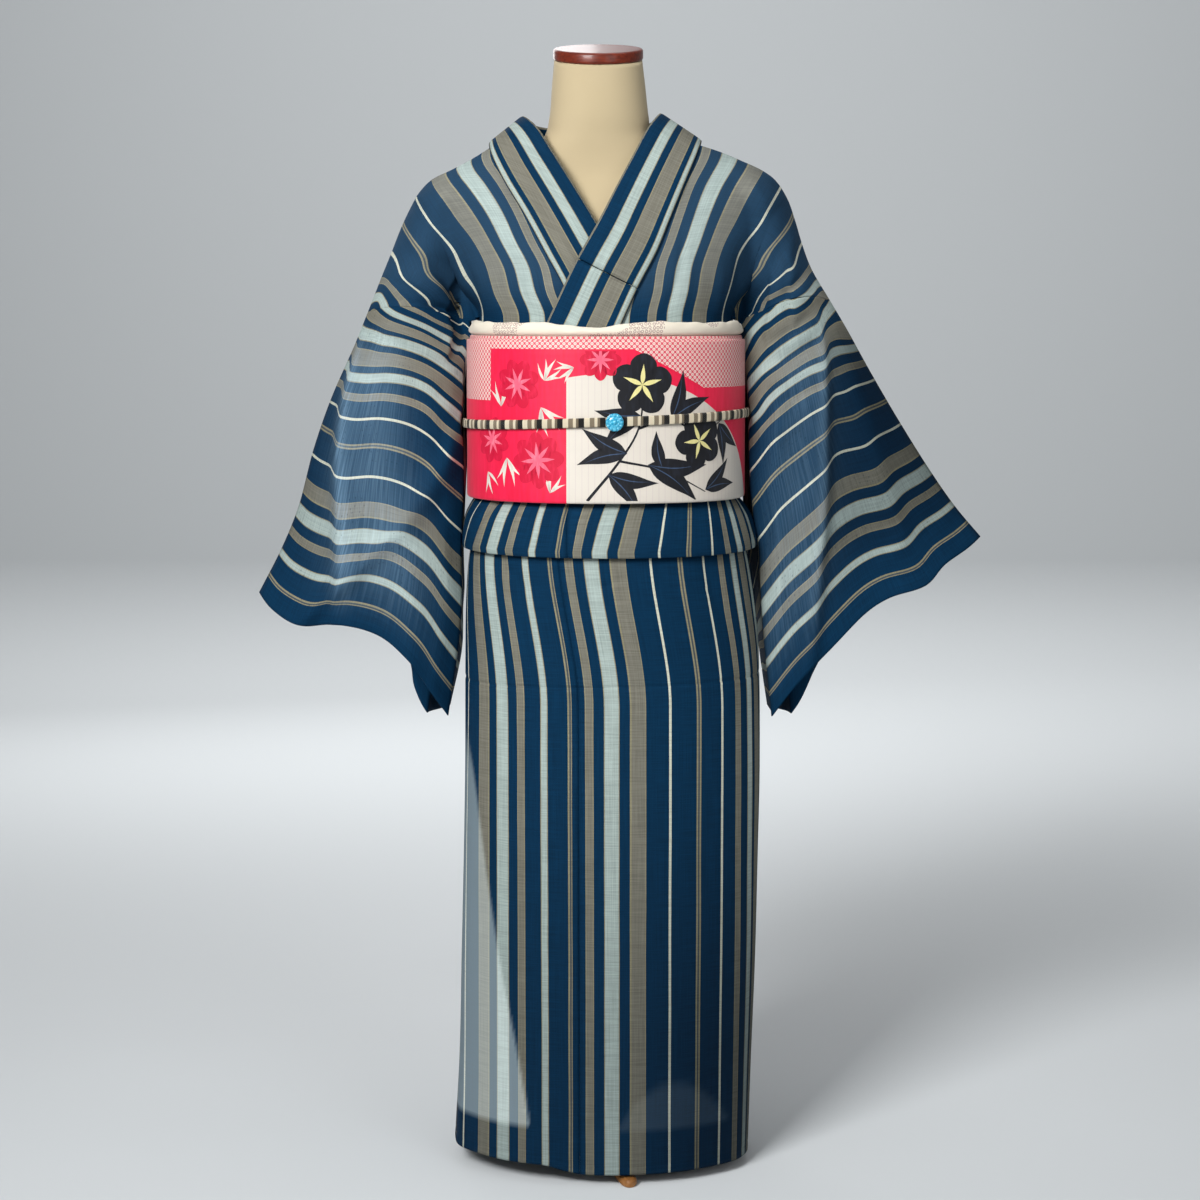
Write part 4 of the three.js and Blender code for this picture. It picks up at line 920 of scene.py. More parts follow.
# Where the stripes lie on the chest: added to the distance from the middle, by height. Towards the
# shoulder's outline they shift again, and beside the armpit its folds draw them in.
CHEST_SHIFT = table("z left right back", (
    (740, 30, 40, 10), (936, 25, 37, 10), (963, 19, 27, 9), (990, 14.5, 20, 8), (1017, 4.5, 6, 2),
    (1046, -5.5, -7.5, -4), (1074, -16, -23, -18), (1105, -31, -41, -30), (1130, -38, -48, -38),
))
OUTER_SHIFT = table("z left right", (
    (912, 40, 3), (949, 36, 5), (963, 26, 2), (978, 16, -8), (993, 8, -10), (1016, 4, -8),
    (1042, -5, -15), (1070, -12, -18), (1105, -14, -20),
))
ARMPIT_PULL = {"left": 24, "right": 14}


# Sharp folds at the armpits: x and z of the lower end, x and z of the upper end, how proud the cloth
# stands outside it, how far the stripes jump across it, and its width.
ARMPIT_FOLDS = {
    "left": ((184, 905, 181, 1000, 4.5, 6, 2.6), (207, 915, 200, 1012, 3.5, 5, 3.0)),
    "right": ((-172, 896, -157, 992, 6.5, 15, 1.3),),
}


def armpit_fold(name, x, z):
    """The height of the sharp folds at the armpit, and the jump of the stripes across them."""
    side = SLEEVES[name]["side"]
    rise, jump = 0, 0
    for x1, z1, x2, z2, depth, slip, width in ARMPIT_FOLDS[name]:
        off = side * (x - mix(x1, x2, (z - z1) / (z2 - z1)))
        fade = smooth((z - z1 + 12) / 16) * smooth((z2 + 8 - z) / 34)
        rise = rise + depth * 0.5 * (1 + np.tanh(off / width)) * np.exp(-np.maximum(off, 0) / 26) * fade
        jump = jump - slip * 0.5 * np.tanh(off / width) * np.exp(-np.abs(off) / 20) * fade
    return rise, jump


def chest_place(name, x, z, back):
    """The stripe place on a body panel, from the cloth's edge; back is 0 in front and 1 behind."""
    away = np.abs(x)
    shift = mix(column(CHEST_SHIFT, name, z), column(CHEST_SHIFT, "back", z), back)
    outer = column(OUTER_SHIFT, name, z) * smooth((away - 95) / 115)
    pull = ARMPIT_PULL[name] * smooth((992 - z) / 44) * np.exp(-(((away - 180) / 27) ** 2))
    waver = np.exp(-(((z - 1000) / 36) ** 2) - ((away - 168) / 30) ** 2)
    _, jump = armpit_fold(name, x, z)
    return away + shift + outer + (1 - back) * (pull + jump + 5 * waver * np.sin((z - 985) / 13))


# Creases of the bodice, seen from the front: pulls into the armpit and across the chest.
BODY_CREASES = {
    "left": (
        (150, 935, 196, 1010, -7, 7), (160, 930, 222, 985, -6, 6), (148, 950, 176, 1040, 4.5, 8),
        (135, 925, 150, 1010, -3.5, 6), (170, 960, 214, 1040, 3.5, 8), (120, 930, 128, 1000, 1.8, 7),
        (66, 935, 88, 1030, -1.8, 4), (78, 930, 96, 1010, 1.2, 5), (152, 936, 230, 960, -4, 5),
    ),
    "right": (
        (-148, 935, -196, 1005, -7, 7), (-156, 928, -224, 975, -6, 6), (-144, 950, -180, 1035, 4.5, 8),
        (-132, 925, -150, 1000, -3.5, 6), (-168, 960, -214, 1030, 3.5, 8),
        (-112, 930, -122, 1000, 1.6, 7), (-60, 960, -92, 1060, -2.2, 4), (-72, 950, -100, 1030, 1.4, 5),
        (-150, 936, -232, 952, -4, 5),
    ),
}
BACK_CREASES = (
    (120, 940, 150, 1020, -4, 8), (-118, 940, -146, 1020, -4, 8), (70, 940, 110, 1040, -1.8, 8),
    (-66, 940, -104, 1040, -2.0, 9), (150, 960, 206, 1030, 4, 10), (-150, 960, -206, 1020, 4, 10),
)


def body_surface(name, u, v):
    shape = SLEEVES[name]
    side = shape["side"]
    upper = PANEL_ROWS - WAIST_ROWS
    corner_x, corner_z = NECK_CORNER[name]
    corner = np.array([corner_x, 0, corner_z], float)
    fold = flat_line(((corner_x, corner_z), *FOLDS[name][1:]))
    armhole = flat_line(shape["armhole"])
    back_neck = flat_line(BACK_NECK[name])
    middle_x, neck_z = BACK_NECK[name][-1]
    neck_share, arm_share = NECK_ROWS / upper, ARMHOLE_ROWS / upper
    side_x = float(column(BODICE, "right" if side > 0 else "left", ARMPIT_HEIGHT))

    def back_edge(q):
        straight = stack(middle_x, 0, mix(neck_z, ARMPIT_HEIGHT, (q - neck_share) / (1 - neck_share)))
        return np.where((q <= neck_share)[..., None], back_neck(q / neck_share), straight)

    def front_edge(q):
        z = mix(corner_z, ARMPIT_HEIGHT, q)
        return mix(stack(column(COLLAR_SEAM, name, z), 0, z), corner, (1 - smooth(q * 12))[..., None])

    def outer_edge(q):
        low = np.array([side_x, 0, ARMPIT_HEIGHT], float)
        rest = mix(armhole(np.ones(1))[0], low, ((q - arm_share) / (1 - arm_share))[..., None])
        return np.where((q <= arm_share)[..., None], armhole(q / arm_share), rest)

    def waist_line(start):
        return lambda s: stack(mix(start, side_x, s), 0, ARMPIT_HEIGHT)

    start_x = front_edge(np.ones(1))[0, 0]
    plans = {
        "front": fill(fold, waist_line(start_x), front_edge, outer_edge),
        "back": fill(fold, waist_line(middle_x), back_edge, outer_edge),
    }

    def below(z, u, face):
        start = column(COLLAR_SEAM, name, z) if face == "front" else middle_x
        angle = mix(turn_at(BODICE, z, start), side * np.pi / 2, u)
        over = 7.9 * (1 - smooth((u - 0.4) / 0.5)) if name == "left" and face == "front" else 0.0
        p = girth(BODICE, z, angle, over)
        if face == "back":
            p[..., 1] *= -column(BODICE, "back", z) / column(BODICE, "front", z)
        return p

    row = np.where(v < 0.5, v, 1 - v) * 2 * PANEL_ROWS
    points = np.zeros((*u.shape, 3))
    for face, here in (("front", v < 0.5), ("back", v >= 0.5)):
        low = here & (row < WAIST_ROWS)
        points[low] = below(mix(BODICE_BOTTOM, ARMPIT_HEIGHT, row[low] / WAIST_ROWS), u[low], face)
        high = here & (row >= WAIST_ROWS)
        across, q = u[high], 1 - (row[high] - WAIST_ROWS) / upper
        waist = below(np.full_like(q, ARMPIT_HEIGHT), across, face)
        p = plans[face](across, q)
        x = mix(p[:, 0], waist[:, 0], smooth(q * 2.5 - 1.5))
        lift = column(LAYERS, "leftFront", p[:, 2]) if name == "left" and face == "front" else 0.0
        points[high] = worn(x, p[:, 2], face, lift * (1 - smooth((across - 0.4) / 0.5)))
    return points


def body_panel(name, columns=120, rows=200):
    side = SLEEVES[name]["side"]
    u, v = grid(columns, rows)
    across = mix(0.0015, 0.9985, u if side > 0 else 1 - u)
    points = body_surface(name, across, v)
    x, z = points[..., 0], points[..., 2]
    front = v < 0.5
    place = chest_place(name, x, z, smooth((v - 0.46) / 0.08))
    detail = np.where(front, creases(x, z, BODY_CREASES[name]), creases(x, z, BACK_CREASES))
    edge = smooth(np.minimum(across, 1 - across) / 0.06)
    top = smooth(np.abs(v - 0.5) / 0.03)
    detail = settle(detail * edge * top * smooth((z - 915) / 30), 2)
    rise, _ = armpit_fold(name, x, z)
    detail += np.where(front, rise, 0) * smooth(np.abs(v - 0.5) / 0.03)
    points = points + facing(points) * detail[..., None]
    uv = np.stack([place, along(points, 0)], -1)
    return points, uv


class KIMONO_OT_bodice(bpy.types.Operator):
    """Makes the two body panels, each from the front's waist over the shoulder to the back's"""

    bl_idname = "kimono.bodice"
    bl_label = "Body panels"

    def execute(self, context):
        settings = context.scene.kimono
        for name in ("left", "right"):
            points, uv = body_panel(name)
            # Painted light on the shoulders, as from light behind them.
            painted_light = 0.05 * smooth((points[..., 2] - 930) / 60)
            piece = cloth_piece(f"body_{name}_cloth", points, uv, gauze("striped body gauze", settings),
                                settings.cloth_thickness, extra={"painted_light_through": painted_light})
            declare_cloth(piece, points, f"body_{name}", "draped")
        return {"FINISHED"}


# ---- Collar ----
COLLAR_LEFT = (  # free edge x and z, sewn edge x and z
    (-72, 898, -8, 868), (-57.6, 928, 8, 897), (-24, 998, 40, 966), (-1, 1039, 60, 1004),
    (17, 1074, 75, 1040), (34, 1106, 90, 1076), (50, 1136, 104, 1108),
)
COLLAR_RIGHT = (
    (62, 910, -6, 880), (45, 945, -20, 914), (20, 994, -38, 966), (-4, 1037, -58, 1003),
    (-28, 1077, -80, 1043), (-50, 1112, -103, 1081), (-66, 1137, -117, 1109),
)
COLLAR_NECK = (  # free edge x, y, z, sewn edge x, y, z
    (65, 6, 1156, 111, 12, 1127), (66, 44, 1155, 104, 66, 1113), (46, 84, 1147, 66, 101, 1094),
    (-10, 104, 1142, -8, 112, 1085), (-66, 84, 1146, -82, 101, 1094), (-86, 44, 1152, -117, 66, 1112),
    (-83, 6, 1153, -121, 12, 1125),
)
COLLAR_CROWN = 0.6
COVER_FROM = 0.1
COVER_TO = 0.93
COLLAR_WALL = 2.4
COLLAR_CLOTH_WIDTH = 58  # of the stripes that the folded collar shows


def collar_surface():
    free, sewn, chest = [], [], []
    runs = (("leftCollar", COLLAR_LEFT), (None, COLLAR_NECK), ("rightCollar", COLLAR_RIGHT[::-1]))
    for side, rows in runs:
        for row in rows:
            if side:
                in_x, in_z, out_x, out_z = (np.array(float(value)) for value in row)
                free.append(worn(in_x, in_z, "front", column(LAYERS, side, in_z)))
                sewn.append(worn(out_x, out_z, "front", column(LAYERS, side, out_z)))
            else:
                free.append(np.array(row[:3], float))
                sewn.append(np.array(row[3:], float))
            chest.append(1.0 if side else 0.0)
    stations = {"at": np.arange(len(chest), dtype=float), "chest": np.array(chest)}
    free_line, sewn_line = spline(free, by_length=False), spline(sewn, by_length=False)
    last = len(chest) - 1

    def at(u, v):
        a, b = free_line(v), sewn_line(v)
        tangent = free_line(np.minimum(v + 1e-3, 1)) - free_line(np.maximum(v - 1e-3, 0))
        up = np.cross(b - a, tangent)
        up /= np.linalg.norm(up, axis=-1, keepdims=True)
        crown = COLLAR_CROWN * np.sin(np.pi * np.clip(u, 0, 1)) ** 0.7
        p = mix(a, b, u[..., None])
        left, right = (column(LAYERS, key, p[..., 2]) for key in ("leftCollar", "rightCollar"))
        layer = np.where(v < 0.5, left, right)
        on_chest = worn(p[..., 0], p[..., 2], "front", layer + crown)
        p = p + up * crown[..., None]
        return mix(p, on_chest, column(stations, "chest", v * last, "at")[..., None])

    return at


class KIMONO_OT_collar(bpy.types.Operator):
    """Makes the folded collar, its cover from the neck to the chest and its two ends"""

    bl_idname = "kimono.collar"
    bl_label = "Collar"

    def execute(self, context):
        settings = context.scene.kimono
        surface = collar_surface()
        gap = 0.0005
        pieces = (
            ("collar_left_end", 0, COVER_FROM - gap, 24),
            ("cover_collar", COVER_FROM + gap, COVER_TO - gap, 200),
            ("collar_right_end", COVER_TO + gap, 1, 18),
        )
        for name, start, end, rows in pieces:
            u, v = grid(16, rows)
            points = surface(u, mix(start, end, v))
            width = along(points, 1)
            # The free edge is a soft fold, and the sewn edge dips to its seam.
            fold = np.minimum(u, 1 - u) * width[:, -1:]
            points = points - facing(points) * (0.7 * np.exp(-((fold / 1.6) ** 2)))[..., None]
            share = width / width[:, -1:]
            uv = np.stack([share * COLLAR_CLOTH_WIDTH, along(points, 0)], -1)
            piece = cloth_piece(f"{name}_cloth", points, uv, gauze("collar gauze", settings),
                                COLLAR_WALL * MM)
            declare_cloth(piece, points, name, "folded")
        return {"FINISHED"}


# ---- Sleeves ----
TURN_AT = 0.7
SLEEVE_FRONT = 46
SLEEVE_START = 0.0008
SLEEVE_CUT = 336  # from the cuff to the armhole, along the stripes' order
SLEEVE_CLOSE = 4.5
SLEEVE_FRONT_CLOSE = {"left": 7.4, "right": 9}
# LIT is the strength of the painted light in the middle of each sleeve.
LIT = {"left": 0.1, "right": 0.17}  # light comes through the open weave in the middle of each sleeve
# Where the sleeve is sewn on: the body's stripes come down to the seam, and there they turn back.
SLEEVE_SEWN = table("t left right", (
    (0, 0.015, 0.075), (0.12, 0.06, 0.085), (0.22, 0.11, 0.1), (0.7, 0.16, 0.14),
))
SEWN_PLACE = 312
SLEEVE_SHAPE = table("s open reach drop", (
    (0, 96, 66, 225), (0.3, 84, 84, 150), (0.65, 70, 102, 62), (1, 64, 112, 6),
))
SLEEVE_CREASES = {  # seen from the front
    "left": (
        (172, 900, 236, 950, -5, 6), (176, 880, 250, 925, -4, 7), (182, 862, 240, 896, 2.6, 7),
        (190, 842, 262, 880, -2.4, 6), (182, 800, 230, 850, 1.6, 8), (190, 700, 240, 760, 1.4, 10),
        (210, 640, 300, 740, -1.6, 9), (300, 660, 340, 720, 1.6, 9), (330, 680, 372, 730, -1.2, 7),
        (176, 660, 196, 760, -1.8, 7), (204, 560, 236, 640, 1.6, 9),
    ),
    "right": (
        (-166, 900, -232, 940, -5, 6), (-170, 878, -250, 915, -4, 7), (-176, 858, -236, 888, 2.6, 7),
        (-184, 838, -252, 868, -2.4, 6), (-176, 800, -226, 840, 1.6, 8), (-184, 690, -232, 756, 1.4, 10),
        (-196, 640, -262, 716, -1.6, 9), (-262, 640, -296, 706, 1.6, 9), (-318, 640, -342, 690, -1.2, 7),
        (-168, 650, -186, 750, -1.8, 7), (-186, 560, -214, 640, 1.6, 9),
    ),
}


def sleeve_fold(folds, s, t):
    total = 0
    for start, end, depth, width, step in folds:
        away = (t - mix(start, end, s)) / width
        if step:
            form = 0.5 * (1 + np.tanh(away)) * (1 - smooth((t - 0.45) / 0.3))
        else:
            form = np.exp(-away * away)
        total = total + depth * form * smooth(s / 0.3) * smooth(t / 0.08)
    return total


def sleeve_points(shape, s, around):
    """s from armhole to cuff, around from the top fold down the front and up the back."""
    armhole = flat_line(shape["armhole"])
    plan = fill(armhole, flat_line(shape["cuff"]), flat_line(shape["fold"]), flat_line(shape["inner"]))
    t = np.where(around < 0.5, around * 2, 2 - around * 2)
    is_back = around > 0.5
    down = np.minimum(t / TURN_AT, 1)
    past = np.maximum(t - TURN_AT, 0) / (1 - TURN_AT)
    own = smooth(s / 0.35)
    p = plan(down, s)
    at_body = armhole(down)
    front = worn(at_body[..., 0], at_body[..., 2], "front")[..., 1]
    back = worn(at_body[..., 0], at_body[..., 2], "back")[..., 1]
    rise = np.sin(np.minimum(t / 0.2, 1) * np.pi / 2) ** 0.8
    turned = smooth((t - TURN_AT + 0.1) / 0.2)
    hang = -SLEEVE_FRONT * rise - sleeve_fold(shape["folds"], s, t)
    free = SHOULDER_Y + hang * (1 - 0.35 * turned) + 8 * turned
    p[..., 2] -= column(SLEEVE_SHAPE, "drop", s, "s") * past
    p[..., 1] = mix(front, free, own) + column(SLEEVE_SHAPE, "reach", s, "s") * past**1.1
    parting = np.sin(np.minimum(t / 0.22, 1) * np.pi / 2) ** 0.8
    share = parting * (1 - smooth((t - 0.35) / 0.65) ** 0.9)
    gap = column(SLEEVE_SHAPE, "open", s, "s") * share
    gap += 9 * (1 - share) * np.sqrt(np.maximum(np.sin(np.pi * t), 0))
    swing = np.radians(62) * smooth((t - TURN_AT + 0.25) / 0.4)
    lower = smooth(past * 1.2)
    at_back = mix(back - front, gap, lower)
    p[..., 0] += np.where(is_back, shape["side"] * np.sin(swing) * gap * mix(lower, 1, own), 0)
    p[..., 1] += np.where(is_back, mix(at_back, np.cos(swing) * gap, own), 0)
    return p, t, is_back


def slipped(shape, s, t):
    """How far the stripes have slipped where the sleeve's folds hide cloth."""
    total = 0
    for start, end, slip, width, begin in shape["slips"]:
        away = (t - mix(start, end, s)) / width
        fade = (1 - smooth((t - 0.8) / 0.2)) * smooth((s - begin) / 0.25)
        total = total + slip * 0.5 * (1 + np.tanh(away)) * fade
    return total * (1 - s) ** 0.5


def sleeve(name, columns=168, rows=120):
    shape = SLEEVES[name]
    side = shape["side"]
    u, v = grid(columns, rows)
    around = u if side > 0 else 1 - u
    s = mix(SLEEVE_START, 1, v)
    points, t, is_back = sleeve_points(shape, s, around)
    # Its top is sewn to the body panel's own edge.
    height = 1 - np.minimum(t[0] / TURN_AT, 1) * ARMHOLE_ROWS / (PANEL_ROWS - WAIST_ROWS)
    row = (WAIST_ROWS + height * (PANEL_ROWS - WAIST_ROWS)) / (2 * PANEL_ROWS)
    edge = body_surface(name, np.full_like(row, 0.9988), np.where(is_back[0], 1 - row, row))
    points = points + (edge - points[0])[None] * (1 - smooth(s / 0.12))[..., None]
    x, z = points[..., 0], points[..., 2]
    detail = creases(x, z, SLEEVE_CREASES[name])
    detail = np.where(is_back, 0.6 * detail, detail)
    detail *= smooth(t / 0.1) * smooth((1 - t) / 0.08) * smooth(s / 0.08) * smooth((1 - s) / 0.06)
    detail *= 1 - smooth((t - TURN_AT) / 0.2)
    rise, jump = (np.where(is_back | (t > TURN_AT), 0, value) for value in armpit_fold(name, x, z))
    detail = settle(detail, 2) + rise * smooth(t / 0.1)
    points = points + facing(points) * detail[..., None]
    # The inner edge hangs close against the sash, and gives way to the cord.
    cord = np.exp(-(((z - CORD_HEIGHT - side * CORD_RISE) / 13) ** 2))
    ahead = np.where(is_back, 0, 1 - smooth((t - TURN_AT) / 0.1))
    close = mix(SLEEVE_CLOSE, SLEEVE_FRONT_CLOSE[name] - 2.6 * cord, ahead)
    points[..., 0] -= side * close * smooth((t - 0.35) / 0.3) * smooth(s / 0.06)
    side_share = np.where(is_back, 0.5, 1)
    sewn = column(SLEEVE_SEWN, name, np.minimum(t, 0.7), "t")
    own, at_seam = (SLEEVE_CUT * (1 - at) + side_share * slipped(shape, at, t) for at in (s, sewn))
    place = own + (SEWN_PLACE - at_seam) * (1 - smooth((s - sewn) / 0.14))
    hole = flat_line(shape["armhole"])(np.minimum(t / TURN_AT, 1))
    start = chest_place(name, hole[..., 0], hole[..., 2], np.where(is_back, 1.0, 0.0))
    place = np.where(s < sewn, mix(start, SEWN_PLACE, s / sewn), place)
    # Past the seam the stripes' order is turned round, and so is their jump at the folds.
    place = place - 0.7 * jump * smooth((s - sewn) / 0.04)
    uv = np.stack([place, t * 430], -1)
    # Painted light in the middle of the sleeve's front, with a painted highlight beside its top fold;
    # painted shade on the strip outside that fold and along the back.
    fold_start, fold_end = shape["folds"][0][:2]
    past_fold = t - mix(fold_start, fold_end, s)
    beside_fold = 1.2 * np.exp(-(((past_fold - 0.03) / 0.03) ** 2))
    glow = LIT[name] * (np.exp(-(((past_fold - 0.16) / 0.16) ** 2)) + beside_fold)
    painted_light = np.where(is_back, 0.0, glow * smooth(s / 0.2) * (1 - smooth((s - 0.75) / 0.25)))
    outside = np.where(is_back, 1 - smooth(t / 0.2), 1 - smooth(past_fold / 0.02))
    shade_share = shape["shade_share"] * outside * smooth((s - 0.06) / 0.14) * (1 - smooth((s - 0.7) / 0.28))
    return points, uv, painted_light, shade_share


class KIMONO_OT_sleeves(bpy.types.Operator):
    """Makes the two hanging sleeves, each a flat tube from its armhole to its cuff"""

    bl_idname = "kimono.sleeves"
    bl_label = "Sleeves"

    def execute(self, context):
        settings = context.scene.kimono
        for name in ("left", "right"):
            points, uv, painted_light, shade_share = sleeve(name)
            piece = cloth_piece(f"sleeve_{name}_cloth", points, uv,
                                gauze("striped slub gauze", settings), settings.cloth_thickness,
                                closed=True, extra={"painted_light_through": painted_light, "painted_shade": shade_share})
            declare_cloth(piece, points, f"sleeve_{name}", "hung")
        return {"FINISHED"}


# ---- Sash ----
SASH_BOTTOM = 741
SASH_TOP = 914
SASH_MIDDLE_HEIGHT = 830.0


def sash_cloth(settings):
    """Dyed silk satin over a stiff lining: smooth, a little glossy, with tied dots round its edges,
    a cream panel with pin stripes, and a red field."""
    if "dyed silk sash" in bpy.data.materials:
        return bpy.data.materials["dyed silk sash"]
    material, tree, surface = new_material("dyed silk sash", 0.5, specular=0.35, sheen=0.15)
    place = add(tree, "UVMap", uv_map="cloth")
    parts = add(tree, "SeparateXYZ", (place,))
    across, height = parts.outputs[0], parts.outputs[1]

    # Cream panel: right of the middle, under a slow arc.
    right = add(tree, "Math", (across, -0.042), operation="GREATER_THAN")
    from_arc = add(tree, "VectorMath", (place, (0.0, 0.655, 0.0)), operation="DISTANCE").outputs[1]
    inside = add(tree, "Math", (from_arc, 0.222), operation="LESS_THAN")
    panel = add(tree, "Math", (right, inside), operation="MULTIPLY")
    pins = add(tree, "Math", (across, math.tau / 0.0068), operation="MULTIPLY")
    pins = add(tree, "Math", (pins,), operation="SINE")
    pins = add(tree, "Math", (pins, 0.975), operation="GREATER_THAN")
    cream = add(tree, "Mix", {0: pins, 6: settings.cream, 7: linear("#d2c6c0")},
                data_type="RGBA").outputs[2]

    # Brushed streaks in the red.
    brush_place = add(tree, "VectorMath", (place, (260.0, 30.0, 1.0)), operation="MULTIPLY")
    brush = add(tree, "TexNoise", {"Vector": brush_place, "Scale": 1.0, "Detail": 3.0})
    deep = add(tree, "MapRange", (brush, 0.35, 0.7, 0.0, 1.0))
    red = add(tree, "Mix", {0: deep, 6: settings.red, 7: linear("#f21b4c")}, data_type="RGBA").outputs[2]
    field = add(tree, "Mix", {0: panel, 6: red, 7: cream}, data_type="RGBA").outputs[2]

    # Tied dots, 4.2 mm apart on the bias, in a band along the top and in two corners.
    turned = add(tree, "VectorRotate", {"Vector": place, "Angle": math.radians(45)},
                 rotation_type="Z_AXIS")
    spread = add(tree, "VectorMath", (turned, (1 / 0.0042, 1 / 0.0042, 1.0)),
                 operation="MULTIPLY")
    cell = add(tree, "VectorMath", (spread,), operation="FRACTION")
    middle = add(tree, "VectorMath", (cell, (0.5, 0.5, 0.0)), operation="SUBTRACT")
    flat = add(tree, "VectorMath", (middle, (1.0, 1.0, 0.0)), operation="MULTIPLY")
    reach = add(tree, "VectorMath", (flat,), operation="LENGTH").outputs[1]
    ring = add(tree, "MapRange", (reach, 0.46, 0.36, 0.0, 1.0))
    heart = add(tree, "MapRange", (reach, 0.1, 0.17, 0.35, 1.0))
    dot = add(tree, "Math", (ring, heart), operation="MULTIPLY")
    dots = add(tree, "Mix", {0: dot, 6: linear("#dd4a5e"), 7: linear("#f3d9cf")},
               data_type="RGBA").outputs[2]
    band = add(tree, "Math", (height, 0.903), operation="GREATER_THAN")
    slope = add(tree, "Math", (across, 0.51, -0.006), operation="MULTIPLY_ADD")
    corner_edge = add(tree, "Math", (0.912, slope), operation="SUBTRACT")
    in_corner = add(tree, "Math", (height, corner_edge), operation="GREATER_THAN")
    floor = add(tree, "Math", (height, 0.862), operation="GREATER_THAN")
    in_corner = add(tree, "Math", (in_corner, floor), operation="MULTIPLY")
    far_left = add(tree, "Math", (across, -0.137), operation="LESS_THAN")
    left_floor = add(tree, "Math", (height, 0.848), operation="GREATER_THAN")
    in_left = add(tree, "Math", (far_left, left_floor), operation="MULTIPLY")
    tied = add(tree, "Math", (band, in_corner), operation="MAXIMUM")
    tied = add(tree, "Math", (tied, in_left), operation="MAXIMUM")
    colour = add(tree, "Mix", {0: tied, 6: field, 7: dots}, data_type="RGBA").outputs[2]
    tree.links.new(colour, surface.inputs["Base Color"])

    # The tied dots stand a little proud, and the ground has a fine rib.
    rib = add(tree, "Math", (height, math.tau / 0.0012), operation="MULTIPLY")
    rib = add(tree, "Math", (rib,), operation="SINE")
    proud = add(tree, "Math", (dot, tied), operation="MULTIPLY")
    rise = add(tree, "Math", (rib, 0.1, proud), operation="MULTIPLY_ADD")
    bump = add(tree, "Bump", {"Strength": 0.5, "Distance": 0.0006, "Height": rise})
    tree.links.new(bump.outputs[0], surface.inputs["Normal"])
    return material


def dyed_silk(name, colour, vein):
    """Resist-dyed colour in silk satin, with faint paler veins."""
    if name in bpy.data.materials:
        return bpy.data.materials[name]
    material, tree, surface = new_material(name, 0.55, specular=0.3, sheen=0.1)
    place = add(tree, "UVMap", uv_map="cloth")
    brush_place = add(tree, "VectorMath", (place, (220.0, 60.0, 1.0)), operation="MULTIPLY")
    brush = add(tree, "TexNoise", {"Vector": brush_place, "Scale": 1.0, "Detail": 2.0})
    share = add(tree, "MapRange", (brush, 0.5, 0.75, 0.0, 0.6))
    tone = add(tree, "Mix", {0: share, 6: colour, 7: vein}, data_type="RGBA").outputs[2]
    tree.links.new(tone, surface.inputs["Base Color"])
    return material


def sash_point(across, z, out):
    """A point on the sash's face: across is the distance round it from its front centre, in mm."""
    turns = np.radians(np.linspace(-180, 180, 721))
    line = girth(SASH, np.full_like(turns, SASH_MIDDLE_HEIGHT), turns, SASH_FACE)
    length = along(line, 0)
    return girth(SASH, z, np.interp(across, length - np.interp(0, turns, length), turns), out)


SASH_FACE = 6.6  # both turns of the sash, out from its inner face
SASH_LEAF = (  # half outline of a bamboo leaf: along, and half width, as shares
    (0, 0), (0.08, 0.35), (0.22, 0.85), (0.38, 1), (0.58, 0.82), (0.78, 0.42), (0.92, 0.14), (1, 0),
)
SASH_PETAL = ((0, 0.1), (0.15, 0.5), (0.4, 0.92), (0.66, 1), (0.86, 0.72), (0.97, 0.3), (1, 0))


def outline(half, x, z, angle, length, width, bend=0.0):
    """A leaf or petal from its root at (x, z), as a closed line."""
    line = spline([(a, w, 0) for a, w in half], by_length=False)(np.linspace(0, 1, 18))
    a, w = line[:, 0], np.maximum(line[:, 1], 0)
    top, low = (np.stack([a * length, half_width + bend * length * np.sin(np.pi * a) * 0.5], -1)
                for half_width in (w * width / 2, -w * width / 2))
    shape = np.vstack([top, low[1:-1][::-1]])
    c, s = math.cos(math.radians(angle)), math.sin(math.radians(angle))
    return shape @ np.array([[c, s], [-s, c]]) + (x, z)


def stem(points, width):
    """A stalk along a smooth line, thinner at its tip."""
    line = spline([(x, 0, z) for x, z in points])(np.linspace(0, 1, 24))[:, [0, 2]]
    along_it = np.gradient(line, axis=0)
    side = np.stack([-along_it[:, 1], along_it[:, 0]], -1)
    side /= np.linalg.norm(along_it, axis=1, keepdims=True)
    half = np.linspace(width / 2, width / 5, 24)[:, None]
    return np.vstack([line + side * half, (line - side * half)[::-1]])


